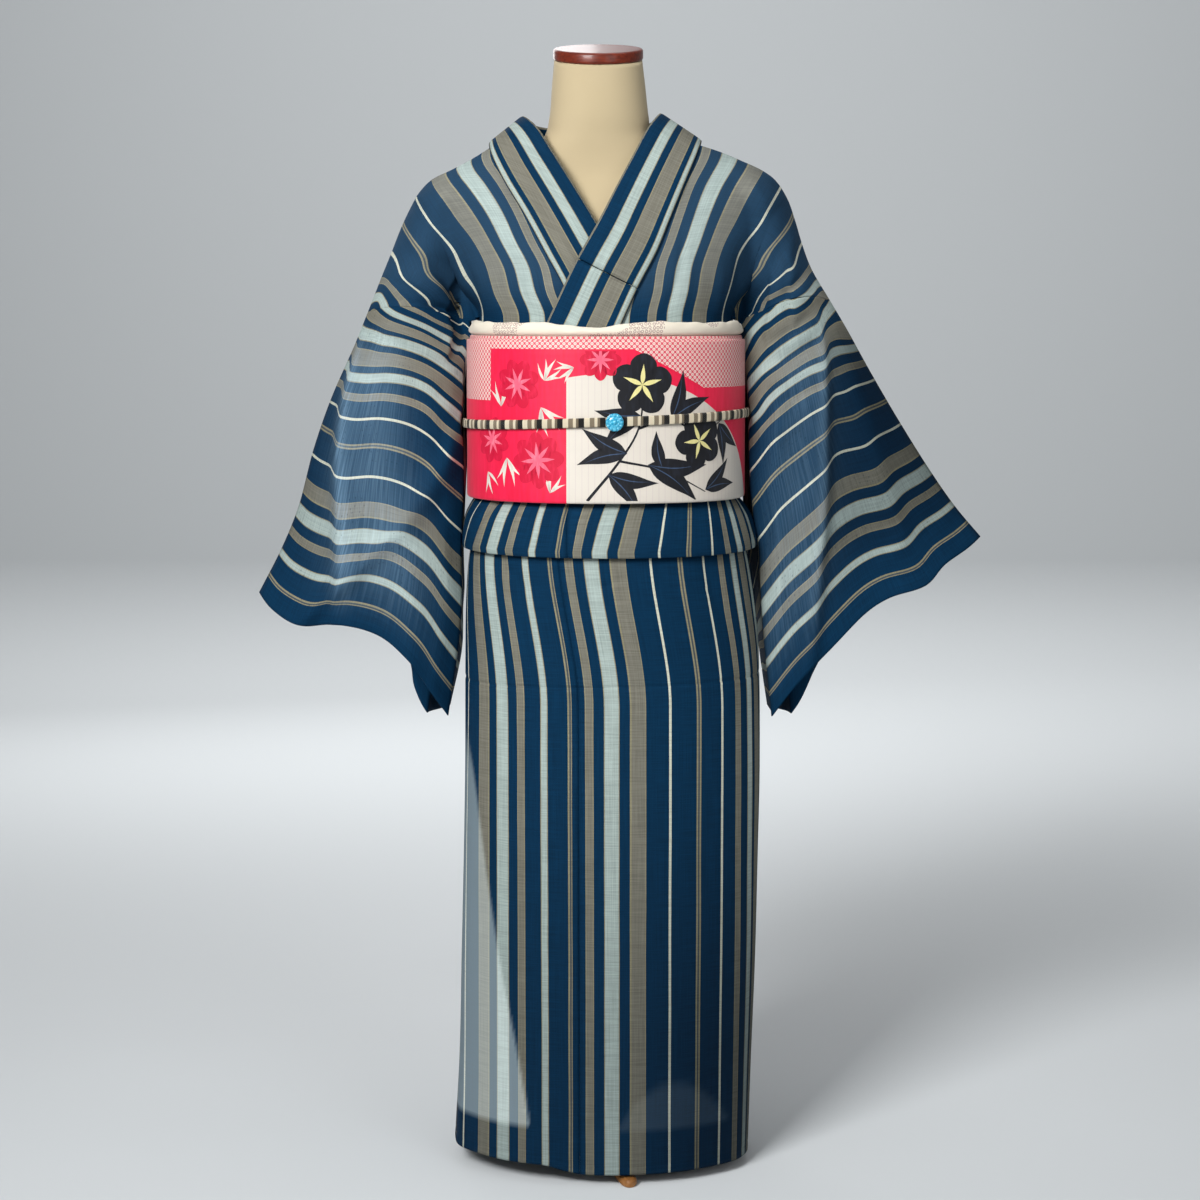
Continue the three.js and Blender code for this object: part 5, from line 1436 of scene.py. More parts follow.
def sash_motifs(name, shapes, low, high, place=None, reach=160, curved=()):
    """Flat shapes laid on the sash's face: each is an outline, a material number and a layer."""
    flat = bmesh.new()
    lift = flat.verts.layers.float.new("lift")
    for shape, number, level in shapes:
        made = [flat.verts.new((x * MM, 0, z * MM)) for x, z in shape]
        for vertex in made:
            vertex[lift] = 0.16 + 0.05 * level
        flat.faces.new(made).material_index = number
    bmesh.ops.triangulate(flat, faces=flat.faces[:])

    def cut(place, normal, **drop):
        bmesh.ops.bisect_plane(flat, geom=flat.verts[:] + flat.edges[:] + flat.faces[:],
                               plane_co=place, plane_no=normal, dist=1e-7, **drop)

    for x in range(-reach, reach + 1, 5):
        cut((x * MM, 0, 0), (1, 0, 0))
    for z in curved:
        cut((0, 0, z * MM), (0, 0, 1))
    for limit, way in ((low, -1), (high, 1)):
        cut((0, 0, limit * MM), (0, 0, way), clear_outer=True)
    layer = flat.loops.layers.uv.new("cloth")
    for face in flat.faces:
        for loop in face.loops:
            loop[layer].uv = (loop.vert.co.x, loop.vert.co.z)
    across = np.array([v.co.x / MM for v in flat.verts])
    z = np.array([v.co.z / MM for v in flat.verts])
    out = np.array([v[lift] for v in flat.verts])
    laid = place(across, z, out) if place else sash_point(across, z, SASH_FACE + out)
    for vertex, where in zip(flat.verts, laid):
        vertex.co = where * MM
    for face in flat.faces:
        face.normal_update()
        middle = face.calc_center_median()
        if face.normal.dot(Vector((middle.x, middle.y, 0))) < 0:
            face.normal_flip()
    mesh = bpy.data.meshes.new(name)
    flat.to_mesh(mesh)
    flat.free()
    return new_piece(name, mesh)


def blossom(x, z, size, turn, number, heart, parts, petals=5, wide=0.86):
    """A round blossom with a pale heart. With eight narrow petals it is an aster."""
    for half, long, across, dye, level in (
        (SASH_PETAL, 1, wide, number, 2), (SASH_LEAF, 0.66, 0.15, heart, 3),
    ):
        for k in range(petals):
            angle = turn + 360 * k / petals
            parts.append((outline(half, x, z, angle, size * long, size * across), dye, level))


def spray(x, z, turn, length, count, number, parts, spread, width, vein=None):
    """Leaves that fan from one place."""
    for k in range(count):
        angle = turn + spread * (k - (count - 1) / 2)
        reach = length * (1 - 0.12 * abs(k - (count - 1) / 2))
        bend = 0.12 * (-1) ** k
        parts.append((outline(SASH_LEAF, x, z, angle, reach, reach * width, bend), number, 0))
        if vein is not None:
            parts.append((outline(SASH_LEAF, x, z, angle, reach * 0.86, 1.1, bend), vein, 1))


# The designs: stems are a line and its width; blossoms and asters are x, z, size and turn; leaves and
# stars are x, z, turn, length, how many, the angle between them and their width as a share.
SASH_DESIGN = {
    "stems": (
        (((-20, 744), (14, 786), (34, 820), (40, 868)), 3.2),
        (((34, 820), (70, 830), (104, 812), (134, 826)), 2.6),
        (((14, 786), (60, 776), (112, 752)), 2.6),
    ),
    "blossoms": ((38, 866, 33, 14), (104, 806, 30, 40)),
    "leaves": (
        (36, 834, 196, 52, 2, 44, 0.34), (70, 830, 50, 56, 2, 50, 0.3), (22, 794, 172, 58, 2, 42, 0.32),
        (60, 778, 100, 40, 1, 34, 0.36), (44, 782, -18, 74, 2, 34, 0.3), (2, 772, -30, 58, 2, 40, 0.3),
        (132, 824, -58, 48, 2, 44, 0.32), (112, 754, 24, 52, 2, 36, 0.3),
    ),
    "asters": ((-98, 866, 27, 20), (-74, 786, 30, 5), (-134, 806, 25, 30), (-6, 892, 22, 0)),
    "stars": (
        (-66, 870, 60, 26, 5, 26, 0.15), (-70, 842, -62, 34, 4, 26, 0.14),
        (-120, 842, 96, 30, 4, 26, 0.14), (-112, 788, -84, 34, 4, 26, 0.14),
        (-60, 752, 70, 24, 4, 28, 0.15), (-142, 772, -70, 26, 3, 30, 0.15),
        (-34, 884, 200, 24, 4, 26, 0.15),
    ),
}
DRUM_DESIGN = {
    "stems": (
        (((-112, 760), (-92, 800), (-84, 850), (-96, 900)), 3.2),
        (((-84, 850), (-52, 874), (-24, 868)), 2.6),
    ),
    "blossoms": ((-98, 902, 33, 24), (-30, 868, 28, 50)),
    "leaves": (
        (-92, 800, 20, 56, 2, 46, 0.3), (-96, 880, 168, 40, 1, 34, 0.32),
        (-108, 770, -28, 58, 2, 38, 0.3), (-60, 872, 66, 42, 2, 50, 0.3),
    ),
    "asters": ((38, 902, 30, 10), (98, 862, 32, 0), (46, 792, 32, 16), (116, 780, 24, 30)),
    "stars": (
        (78, 900, 40, 32, 4, 26, 0.15), (14, 850, 110, 30, 4, 26, 0.15), (84, 806, -60, 32, 4, 26, 0.15),
        (24, 762, 60, 26, 3, 28, 0.15),
    ),
}


def design_parts(design):
    """Every outline of a design, with the number of its dyed silk and its layer."""
    black, yellow, white, deep, pale, vein = range(6)
    parts = [(stem(line, width), black, 0) for line, width in design["stems"]]
    for row in design["blossoms"]:
        blossom(*row, black, yellow, parts)
    for *row, spread, width in design["leaves"]:
        spray(*row, black, parts, spread, width, vein)
    for row in design["asters"]:
        blossom(*row, deep, pale, parts, petals=8, wide=0.6)
    for *row, spread, width in design["stars"]:
        spray(*row, white, parts, spread, width)
    return parts


class KIMONO_OT_sash(bpy.types.Operator):
    """Makes the sash's two turns round the waist and the leaves and blossoms dyed on it"""

    bl_idname = "kimono.sash"
    bl_label = "Sash"

    def execute(self, context):
        settings = context.scene.kimono_sash
        outer = SASH_FACE
        # Two rolled upper edges, one inside the other, then the outer face down to the lower edge.
        section = [(0, SASH_BOTTOM + 2)]
        section += [(out, SASH_TOP + up) for out, up in (
            (0, 1), (1.4, 2.4), (2.9, 1.4), (3.3, -2.2), (outer - 1.4, -1.8), (outer - 0.3, -2.6),
            (outer, -4.5),
        )]
        section += [(outer, mix(SASH_TOP - 4.5, SASH_BOTTOM + 3, k / 12)) for k in range(1, 13)]
        section += [(outer - 0.4, SASH_BOTTOM + 1), (outer - 1.5, SASH_BOTTOM), (1.5, SASH_BOTTOM)]
        piece = ring_piece("sash_cloth", SASH, section, 220, sash_cloth(settings))
        stands_for(piece, "sash")
        motifs = sash_motifs("sash_pattern", design_parts(SASH_DESIGN), SASH_BOTTOM + 3, 901)
        finish_motifs(motifs, settings)
        return {"FINISHED"}


def finish_motifs(motifs, settings):
    for name, colour, tone in (
        ("black dyed silk", settings.black, linear("#252b38")),
        ("yellow dyed silk", settings.yellow, linear("#f2ecb8")),
        ("undyed silk", settings.cream, linear("#f6efe6")),
        ("deep red dyed silk", linear("#cf0c38"), linear("#ee2a55")),
        ("pink dyed silk", linear("#f0647e"), linear("#f7a0ae")),
        ("blue dyed silk", linear("#3b4f6c"), linear("#52688a")),
    ):
        motifs.data.materials.append(dyed_silk(name, colour, tone))
    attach(motifs, BODY)


def tube(name, rings, uv_at, material):
    """A closed tube over rings of points in millimetres, with its own cloth coordinates."""
    around, count = rings.shape[:2]
    faces, uv = [], []
    for i in range(around):
        for k in range(count):
            corners = ((i, k), (i, k + 1), (i + 1, k + 1), (i + 1, k))
            faces.append([(a % around) * count + b % count for a, b in corners])
            uv += [uv_at(a, b) for a, b in corners]
    mesh = bpy.data.meshes.new(name)
    mesh.from_pydata((rings * MM).reshape(-1, 3).tolist(), [], faces)
    layer = mesh.uv_layers.new(name="cloth")
    layer.data.foreach_set("uv", (np.array(uv) * MM).astype(np.float32).ravel())
    mesh.materials.append(material)
    piece = new_piece(name, mesh)
    outward(piece)
    mesh.shade_smooth()
    return piece


def ring_piece(name, rows, section, around, material, shift=None):
    """A closed ring: a section of (grow, z) corners carried round the waist, with its cloth
    coordinates: round from the front centre, and height."""
    turns = np.radians(np.linspace(-180, 180, around + 1))
    grow, height = np.array(section, float).T
    turn, out = np.meshgrid(turns, grow)
    _, z = np.meshgrid(turns, height)
    move_out, move_up = shift(turn, z) if shift else (0.0, 0.0)
    points = girth(rows, z, turn, out + move_out)
    points[..., 2] = z + move_up
    length = along(girth(rows, np.full_like(turns, SASH_MIDDLE_HEIGHT), turns, grow.max()), 0)
    across = length - np.interp(0, turns, length)
    return tube(name, points[:, :around].transpose(1, 0, 2),
                lambda i, k: (across[i], height[k % len(height)]), material)


def outward(piece):
    """Turns a closed mesh's faces so that they look out."""
    work = bmesh.new()
    work.from_mesh(piece.data)
    bmesh.ops.recalc_face_normals(work, faces=work.faces[:])
    if work.calc_volume(signed=True) < 0:
        bmesh.ops.reverse_faces(work, faces=work.faces[:])
    work.to_mesh(piece.data)
    work.free()


# ---- The sash's back ----
DRUM = (
    (131.5, 906), (132.5, 930), (141, 945), (157, 950), (175, 945), (188, 928), (194, 900), (195, 860),
    (193, 820), (190, 780), (186, 750), (177, 735), (163, 733), (151, 742), (146, 765), (145, 812),
)
TAIL = ((135.5, 806), (135.5, 770), (137.5, 742), (141, 720), (141.5, 690), (139.5, 655))
HAND = {"low": 752, "high": 896, "y": 160, "half": 150, "thickness": 4}
SASH_MIDDLE = 6.5
DRUM_WIDTH = 288


def strip_points(profile, half, u, v, curl):
    path = spline([(0, y, z) for y, z in profile])(v)
    across = mix(-1, 1, u)
    return stack(SASH_MIDDLE + across * half, path[..., 1] - curl * across**2, path[..., 2])


def dents(u, v):
    """Stiff silk: long shallow dents."""
    return 0.42 * np.sin(u * 9 + 1) * np.sin(v * 11) + 0.3 * np.sin(u * 4.2 + v * 7) - 0.6


def drum_point(across, z, out):
    """A point on the drum's outer face, from its middle line and a height."""
    v = np.linspace(0, 1, 400)
    line = spline([(0, y, height) for y, height in DRUM])(v)
    facing_out = line[:, 1] > 177
    order = np.argsort(line[facing_out, 2])
    v = np.interp(z, line[facing_out, 2][order], v[facing_out][order])
    u = across / DRUM_WIDTH + 0.5
    points = strip_points(DRUM, DRUM_WIDTH / 2, u, v, 2)
    points[..., 1] += dents(u, v) + out + 0.15
    return points


class KIMONO_OT_sash_back(bpy.types.Operator):
    """Makes the folded drum at the back, the hand end inside it and the tail below it"""

    bl_idname = "kimono.sash_back"
    bl_label = "Sash back"

    def execute(self, context):
        settings = context.scene.kimono_sash
        half_hand = HAND["thickness"] / 2
        near, far = HAND["y"] - half_hand + 0.7, HAND["y"] + half_hand - 0.7
        high, low = HAND["high"] - 1, HAND["low"] + 4
        hand_profile = [(near, high), (near, 830), (near, low), (HAND["y"], HAND["low"] + 1.2),
                        (far, low), (far, 830), (far, high)]
        pieces = (
            ("sash_drum", DRUM, DRUM_WIDTH / 2, 40, 150, 2, "folded", settings.thickness),
            ("sash_tail", TAIL, DRUM_WIDTH / 2 - 3, 40, 48, 0, "hung", settings.thickness),
            ("sash_hand", hand_profile, HAND["half"], 30, 60, 0, "folded", 0.0008),
        )
        for name, profile, half, columns, rows, curl, held, thickness in pieces:
            u, v = grid(columns, rows)
            points = strip_points(profile, half, u, v, curl)
            if name != "sash_hand":
                points = points + facing(points) * dents(u, v)[..., None]
            uv = np.stack([points[..., 0] - SASH_MIDDLE - 60, 915 - along(points, 0)], -1)
            piece = cloth_piece(f"{name}_cloth", points, uv, sash_cloth(settings), thickness)
            declare_cloth(piece, points, name, held)
        motifs = sash_motifs("sash_drum_pattern", design_parts(DRUM_DESIGN), 752, 940, drum_point, 140,
                             range(756, 940, 3))
        finish_motifs(motifs, settings)
        return {"FINISHED"}


# ---- Scarf ----
SCARF_SECTION = (  # out from the sash's inner face, and up from its top
    (-0.6, -5), (-0.6, 3), (2.2, 3.8), (4, 6), (4.5, 9), (4.4, 12), (3.6, 15), (1.9, 17.6), (-0.1, 17.8),
    (-1.4, 14), (-1.7, 4), (-1.7, -5),
)


class KIMONO_OT_scarf(bpy.types.Operator):
    """Makes the crepe scarf that lies in soft folds on the sash's upper edge"""

    bl_idname = "kimono.scarf"
    bl_label = "Scarf"

    def execute(self, context):
        settings = context.scene.kimono_sash

        def shape(turn, z):
            ahead = smooth(np.cos(turn) * 3)
            tucked = np.exp(-(((np.sin(turn) + 0.08) / 0.24) ** 2)) * ahead
            swell = 1.4 * np.cos(turn * 4) * ahead
            share = smooth((z - SASH_TOP - 4) / 12)
            ripple = 0.45 * np.sin(turn * 23 + z * 0.35) + 0.3 * np.sin(turn * 41 - z * 0.5)
            sag = swell - 7.5 * tucked - 7 * (1 - ahead)
            return ripple * share * 0.8, sag * share + ripple * share

        profile = [(out, SASH_TOP + up) for out, up in SCARF_SECTION]
        piece = ring_piece("scarf_cloth", SASH, profile, 240, self.crepe(settings), shape)
        stands_for(piece, "scarf")
        return {"FINISHED"}

    @staticmethod
    def crepe(settings):
        """Undyed silk crepe: matt and pebbled, with small tied dots in dark red."""
        material, tree, surface = new_material("silk crepe", 0.85, specular=0.2, sheen=0.2)
        place = add(tree, "UVMap", uv_map="cloth")
        pebble = add(tree, "TexNoise", {"Vector": place, "Scale": 900.0, "Detail": 2.0})
        cells = add(tree, "TexVoronoi", {"Vector": place, "Scale": 240.0, "Randomness": 0.3},
                    voronoi_dimensions="2D")
        ring = add(tree, "Math", (cells, 0.32, 0.09), operation="COMPARE")
        patch = add(tree, "TexNoise", {"Vector": place, "Scale": 14.0, "Detail": 0.0})
        here = add(tree, "Math", (patch, 0.56), operation="GREATER_THAN")
        share = add(tree, "Math", (ring, here), operation="MULTIPLY")
        share = add(tree, "Math", (share, 0.65), operation="MULTIPLY")
        colour = add(tree, "Mix", {0: share, 6: settings.scarf, 7: linear("#7d3b4c")}, data_type="RGBA")
        tree.links.new(colour.outputs[2], surface.inputs["Base Color"])
        bump = add(tree, "Bump", {"Strength": 0.5, "Distance": 0.0006, "Height": pebble})
        tree.links.new(bump.outputs[0], surface.inputs["Normal"])
        return material


# ---- Cord and clasp ----
CORD_WIDTH = 10
CORD_THICKNESS = 4.5
CORD_HEIGHT = 827
CORD_RISE = 6
CORD_OVER = SASH_FACE + 0.4 + CORD_THICKNESS / 2 + 0.3  # its middle, which stands a little off the sash
CORD_BACK = (
    (162.2, 20, 833), (161.5, 90, 834), (160, 150, 835), (158.5, 184, 835), (150, 198, 835),
    (120, 201.5, 835), (6, 202, 834), (-107, 201.5, 832), (-137, 198, 831), (-145.5, 184, 829),
    (-147, 150, 828), (-148.6, 90, 825), (-149.4, 20, 821),
)
CLASP_RADIUS = 9.6
CLASP_GAP = 0.35
CLASP_TURN = math.radians(2.4)


def cord_path():
    front = []
    for degrees in range(-80, 81, 10):
        turn = math.radians(degrees)
        x, y, _ = girth(SASH, np.array(float(CORD_HEIGHT)), np.array(turn), CORD_OVER)
        front.append((x, y, CORD_HEIGHT + CORD_RISE * math.sin(turn)))
    return spline([*front, *CORD_BACK], closed=True)


class KIMONO_OT_cord(bpy.types.Operator):
    """Makes the flat braided cord round the sash and the clasp on its front"""

    bl_idname = "kimono.cord"
    bl_label = "Cord and clasp"

    def execute(self, context):
        settings = context.scene.kimono_sash
        path = cord_path()
        around = 420
        t = np.arange(around + 1) / around
        middle = path(t)
        ahead = path((t + 0.001) % 1) - path((t - 0.001) % 1)
        ahead /= np.linalg.norm(ahead, axis=1, keepdims=True)
        out = np.stack([ahead[:, 1], -ahead[:, 0], np.zeros(around + 1)], -1)
        out /= np.linalg.norm(out, axis=1, keepdims=True)
        angles = np.linspace(0, 2 * np.pi, 17)
        up = signed_power(np.cos(angles), 0.6) * CORD_WIDTH / 2
        away = signed_power(np.sin(angles), 0.7) * CORD_THICKNESS / 2 * 0.9
        points = middle[:, None] + out[:, None] * away[None, :, None]
        points[..., 2] += up[None]
        length = along(middle, 0)
        piece = tube("sash_cord_braid", points[:-1, :-1], lambda i, k: (length[i], up[k]), self.braid())
        stands_for(piece, "sash_cord")
        self.clasp(context, settings)
        return {"FINISHED"}

    @staticmethod
    def braid():
        """Flat silk braid with slanting strands, in black, cream and grey that repeat at 22.5 mm."""
        material, tree, surface = new_material("braided silk cord", 0.6, specular=0.3, sheen=0.1)
        place = add(tree, "UVMap", uv_map="cloth")
        parts = add(tree, "SeparateXYZ", (place,))
        slope = add(tree, "Math", (parts.outputs[1],), operation="ABSOLUTE")
        block = add(tree, "Math", (parts.outputs[0], 1 / 0.0225), operation="MULTIPLY")
        share = add(tree, "Math", (block,), operation="FRACT")
        ramp = add(tree, "ValToRGB", (share,))
        ramp.color_ramp.interpolation = "CONSTANT"
        colours = ((0.0, "#14120f"), (0.26, "#e9dcc0"), (0.52, "#8a7c66"), (0.74, "#e9dcc0"),
                   (0.88, "#7a6d59"))
        for _ in colours[2:]:
            ramp.color_ramp.elements.new(0.5)
        for element, (at, colour) in zip(ramp.color_ramp.elements, colours):
            element.position = at
            element.color = linear(colour)
        tree.links.new(ramp.outputs[0], surface.inputs["Base Color"])
        strand = add(tree, "Math", (parts.outputs[0], slope), operation="ADD")
        strand = add(tree, "Math", (strand, math.tau / 0.0022), operation="MULTIPLY")
        strand = add(tree, "Math", (strand,), operation="SINE")
        bump = add(tree, "Bump", {"Strength": 0.8, "Distance": 0.0005, "Height": strand})
        tree.links.new(bump.outputs[0], surface.inputs["Normal"])
        return material

    @staticmethod
    def clasp(context, settings):
        seat = girth(SASH, np.array(float(CORD_HEIGHT)), np.array(CLASP_TURN),
                     CORD_OVER + CORD_THICKNESS / 2 + CLASP_GAP)
        x, y, z = seat[0] * MM, seat[1] * MM, CORD_HEIGHT * MM
        radius = CLASP_RADIUS * MM
        bpy.ops.mesh.primitive_cylinder_add(
            vertices=64, radius=radius * 0.98, depth=0.0034, location=(x, y - 0.0017, z),
            rotation=(math.pi / 2, 0, 0))
        base = context.object
        base.name = base.data.name = "clasp_setting"
        bpy.ops.object.transform_apply(location=True, rotation=True, scale=True)
        bpy.ops.object.mode_set(mode="EDIT")
        bpy.ops.mesh.select_all(action="DESELECT")
        work = bmesh.from_edit_mesh(base.data)
        for face in work.faces:
            face.select = face.normal.y < -0.9
        bmesh.update_edit_mesh(base.data)
        bpy.ops.mesh.inset(thickness=0.0012, depth=0)
        bpy.ops.mesh.inset(thickness=0.0008, depth=0.0009)
        bpy.ops.mesh.inset(thickness=0.0028, depth=0.0010)
        bpy.ops.object.mode_set(mode="OBJECT")
        bevel = base.modifiers.new("soft edge", "BEVEL")
        bevel.width, bevel.segments, bevel.limit_method = 0.0003, 2, "ANGLE"
        bpy.ops.object.modifier_apply(modifier=bevel.name)
        bpy.ops.object.shade_smooth_by_angle(angle=math.radians(35))
        glaze = KIMONO_OT_cord.glaze(settings)
        base.data.materials.append(glaze)
        made = [base]
        petals = [(0.0, 0.0, 0.0026, 0.0036)]
        rings = ((12, 0, 7.3, 0.0020, 0.0014), (8, 0.5, 4.2, 0.0017, 0.0024))
        for count, first, away, size, lift in rings:
            for k in range(count):
                angle = math.tau * (k + first) / count
                petals.append((away * math.cos(angle), away * math.sin(angle), size, lift))
        for number, (dx, dz, size, lift) in enumerate(petals):
            bpy.ops.mesh.primitive_uv_sphere_add(
                segments=20, ring_count=10, radius=size,
                location=(x + dx * MM, y - 0.0032 - lift * 0.5, z + dz * MM))
            petal = context.object
            petal.name = petal.data.name = f"clasp_petal_{number + 1:02d}"
            petal.scale = (1, 0.62, 1)
            bpy.ops.object.transform_apply(location=True, rotation=True, scale=True)
            bpy.ops.object.shade_smooth()
            petal.data.materials.append(glaze)
            made.append(petal)
        for piece in made:
            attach(piece, BODY)
        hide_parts("sash_clasp")

    @staticmethod
    def glaze(settings):
        """Turquoise-glazed ceramic: thick glossy glass, with paler clouds in it."""
        material, tree, surface = new_material("turquoise glaze", 0.18, specular=0.5, coat=0.6)
        place = add(tree, "TexCoord").outputs["Object"]
        cloud = add(tree, "TexNoise", {"Vector": place, "Scale": 420.0, "Detail": 3.0})
        share = add(tree, "MapRange", (cloud, 0.35, 0.7, 0.0, 0.7))
        colour = add(tree, "Mix", {0: share, 6: settings.clasp, 7: linear("#6fd2ea")}, data_type="RGBA")
        tree.links.new(colour.outputs[2], surface.inputs["Base Color"])
        return material


# ---- Dress form ----
NECK_TOP = 1212
CAP_THICKNESS = 12
CAP_SEAM = 0.35  # between the cover and the cap
CAP_TILT = math.tan(math.radians(11))
CAP_LEAN_START = 1150


class KIMONO_OT_dress_form(bpy.types.Operator):
    """Makes the form's padded cover and its varnished cap, and finishes the wooden stand"""

    bl_idname = "kimono.dress_form"
    bl_label = "Dress form"

    def execute(self, context):
        settings = context.scene.kimono_form
        rows, columns = 150, 96
        u, v = grid(columns, rows)
        z = mix(500.0, NECK_TOP, v)
        points = girth(FORM, z, 2 * np.pi * u)
        share = np.clip((points[..., 2] - CAP_LEAN_START) / (NECK_TOP - CAP_LEAN_START), 0, 1)
        points[..., 2] += points[..., 1] * CAP_TILT * share
        self.cover(settings, points)
        self.cap(context, settings)
        wood = self.wood(settings)
        for node in ("pole", "base_hub", "base_leg_1", "base_leg_2", "base_leg_3"):
            frame["nodes"][node].data.materials.clear()
            frame["nodes"][node].data.materials.append(wood)
        return {"FINISHED"}

    @staticmethod
    def cover(settings, points):
        """A knitted cotton cover over soft padding: matt, with a fine knit and faint uneven tone."""
        rows, columns = points.shape[0] - 1, points.shape[1] - 1
        mesh = bpy.data.meshes.new("form_cover")
        at = lambda i, j: j * columns + (i % columns)
        faces = [[at(i, j), at(i + 1, j), at(i + 1, j + 1), at(i, j + 1)]
                 for j in range(rows) for i in range(columns)]
        verts = (points[:, :columns] * MM).reshape(-1, 3)
        low, high = len(verts), len(verts) + 1
        verts = np.vstack([verts, verts[:columns].mean(0), verts[-columns:].mean(0)])
        faces += [[low, at(i + 1, 0), at(i, 0)] for i in range(columns)]
        faces += [[high, at(i, rows), at(i + 1, rows)] for i in range(columns)]
        mesh.from_pydata(verts.tolist(), [], faces)
        mesh.shade_smooth()
        piece = new_piece("form_cover", mesh)
        outward(piece)
        material, tree, surface = new_material("knitted cotton cover", 0.85, specular=0.2, sheen=0.15)
        place = add(tree, "TexCoord").outputs["Object"]
        knit_place = add(tree, "VectorMath", (place, (1.0, 1.0, 0.45)), operation="MULTIPLY")
        knit = add(tree, "TexNoise", {"Vector": knit_place, "Scale": 1400.0, "Detail": 1.0})
        tone = add(tree, "TexNoise", {"Vector": place, "Scale": 9.0, "Detail": 2.0})
        share = add(tree, "MapRange", (tone, 0.35, 0.7, 0.0, 0.25))
        colour = add(tree, "Mix", {0: share, 6: settings.cover, 7: linear("#b4a17b")}, data_type="RGBA")
        tree.links.new(colour.outputs[2], surface.inputs["Base Color"])
        bump = add(tree, "Bump", {"Strength": 0.3, "Distance": 0.0004, "Height": knit})
        tree.links.new(bump.outputs[0], surface.inputs["Normal"])
        mesh.materials.append(material)
        stands_for(piece, "dress_form")

    @staticmethod
    def cap(context, settings):
        """A turned cherry disc with the form's own outline, rounded edges and a worn varnish."""
        left, right, front, back = (
            float(column(FORM, key, NECK_TOP)) for key in ("left", "right", "front", "back"))
        middle = ((left + right) / 2 * MM, (back - front) / 2 * MM,
                  (NECK_TOP + CAP_SEAM + CAP_THICKNESS / 2) * MM)
        bpy.ops.mesh.primitive_cylinder_add(
            vertices=128, radius=1.0, depth=CAP_THICKNESS * MM, location=middle)
        cap = context.object
        cap.name = cap.data.name = "cap_disc"
        cap.scale = (((right - left) / 2 + 1) * MM, ((front + back) / 2 + 1) * MM, 1)
        bpy.ops.object.transform_apply(location=True, rotation=True, scale=True)
        bpy.ops.object.mode_set(mode="EDIT")
        bpy.ops.mesh.select_all(action="DESELECT")
        work = bmesh.from_edit_mesh(cap.data)
        for face in work.faces:
            face.select = abs(face.normal.z) > 0.9
        bmesh.update_edit_mesh(cap.data)
        bpy.ops.mesh.inset(thickness=0.004, use_individual=True)
        bpy.ops.mesh.inset(thickness=0.016, use_individual=True)
        bpy.ops.object.mode_set(mode="OBJECT")
        bevel = cap.modifiers.new("turned edge", "BEVEL")
        bevel.width, bevel.segments = 0.0026, 5
        bevel.limit_method, bevel.angle_limit = "ANGLE", math.radians(50)
        bpy.ops.object.modifier_apply(modifier=bevel.name)
        for vertex in cap.data.vertices:
            vertex.co.z += vertex.co.y * CAP_TILT
        bpy.ops.object.shade_smooth_by_angle(angle=math.radians(40))
        material, tree, surface = new_material("varnished cherry", 0.36, specular=0.35, coat=0.22)
        place = add(tree, "TexCoord").outputs["Object"]
        grain_place = add(tree, "VectorMath", (place, (30.0, 420.0, 420.0)), operation="MULTIPLY")
        grain = add(tree, "TexNoise", {"Vector": grain_place, "Scale": 1.0, "Detail": 4.0})
        share = add(tree, "MapRange", (grain, 0.35, 0.68, 0.0, 0.7))
        colour = add(tree, "Mix", {0: share, 6: settings.cap, 7: linear("#3f0f08")}, data_type="RGBA")
        tree.links.new(colour.outputs[2], surface.inputs["Base Color"])
        cap.data.materials.append(material)
        stands_for(cap, "neck_cap")

    @staticmethod
    def wood(settings):
        """Oiled beech: fine grain along the piece, low gloss."""
        material, tree, surface = new_material("oiled beech", 0.45, specular=0.4)
        place = add(tree, "TexCoord").outputs["Object"]
        grain_place = add(tree, "VectorMath", (place, (160.0, 20.0, 160.0)), operation="MULTIPLY")
        grain = add(tree, "TexNoise", {"Vector": grain_place, "Scale": 1.0, "Detail": 3.0})
        colour = add(tree, "Mix", {0: grain, 6: settings.base, 7: linear("#7c5027")}, data_type="RGBA")
        tree.links.new(colour.outputs[2], surface.inputs["Base Color"])
        bump = add(tree, "Bump", {"Strength": 0.15, "Distance": 0.0003, "Height": grain})
        tree.links.new(bump.outputs[0], surface.inputs["Normal"])
        return material


# ---- Stage ----
SWEEP_SIZE = 14
CAMERA_PLACE = (0, -3.0, 0.954)
CAMERA_DOWN = 6.27  # degrees below level
CAMERA_LENS = 81.9
LAMPS = (  # name, place, size, power, what it aims at, spread in degrees
    ("key", (-1.1, -2.2, 1.95), 1.0, 17.5, (0, 0, 0.74), 85),
    ("fill", (1.6, -2.6, 1.7), 1.5, 5, (0, 0, 0.8), 120),
    ("top", (0.3, 0.2, 3.2), 1.6, 16, (0, 0, 0.9), 180),
    ("rim", (-0.8, 2.8, 1.9), 1.6, 26, (0, 0, 0.9), 180),
    ("backdrop", (0, 2.6, 3.6), 3.0, 130, (0, 7, 1.0), 180),
)


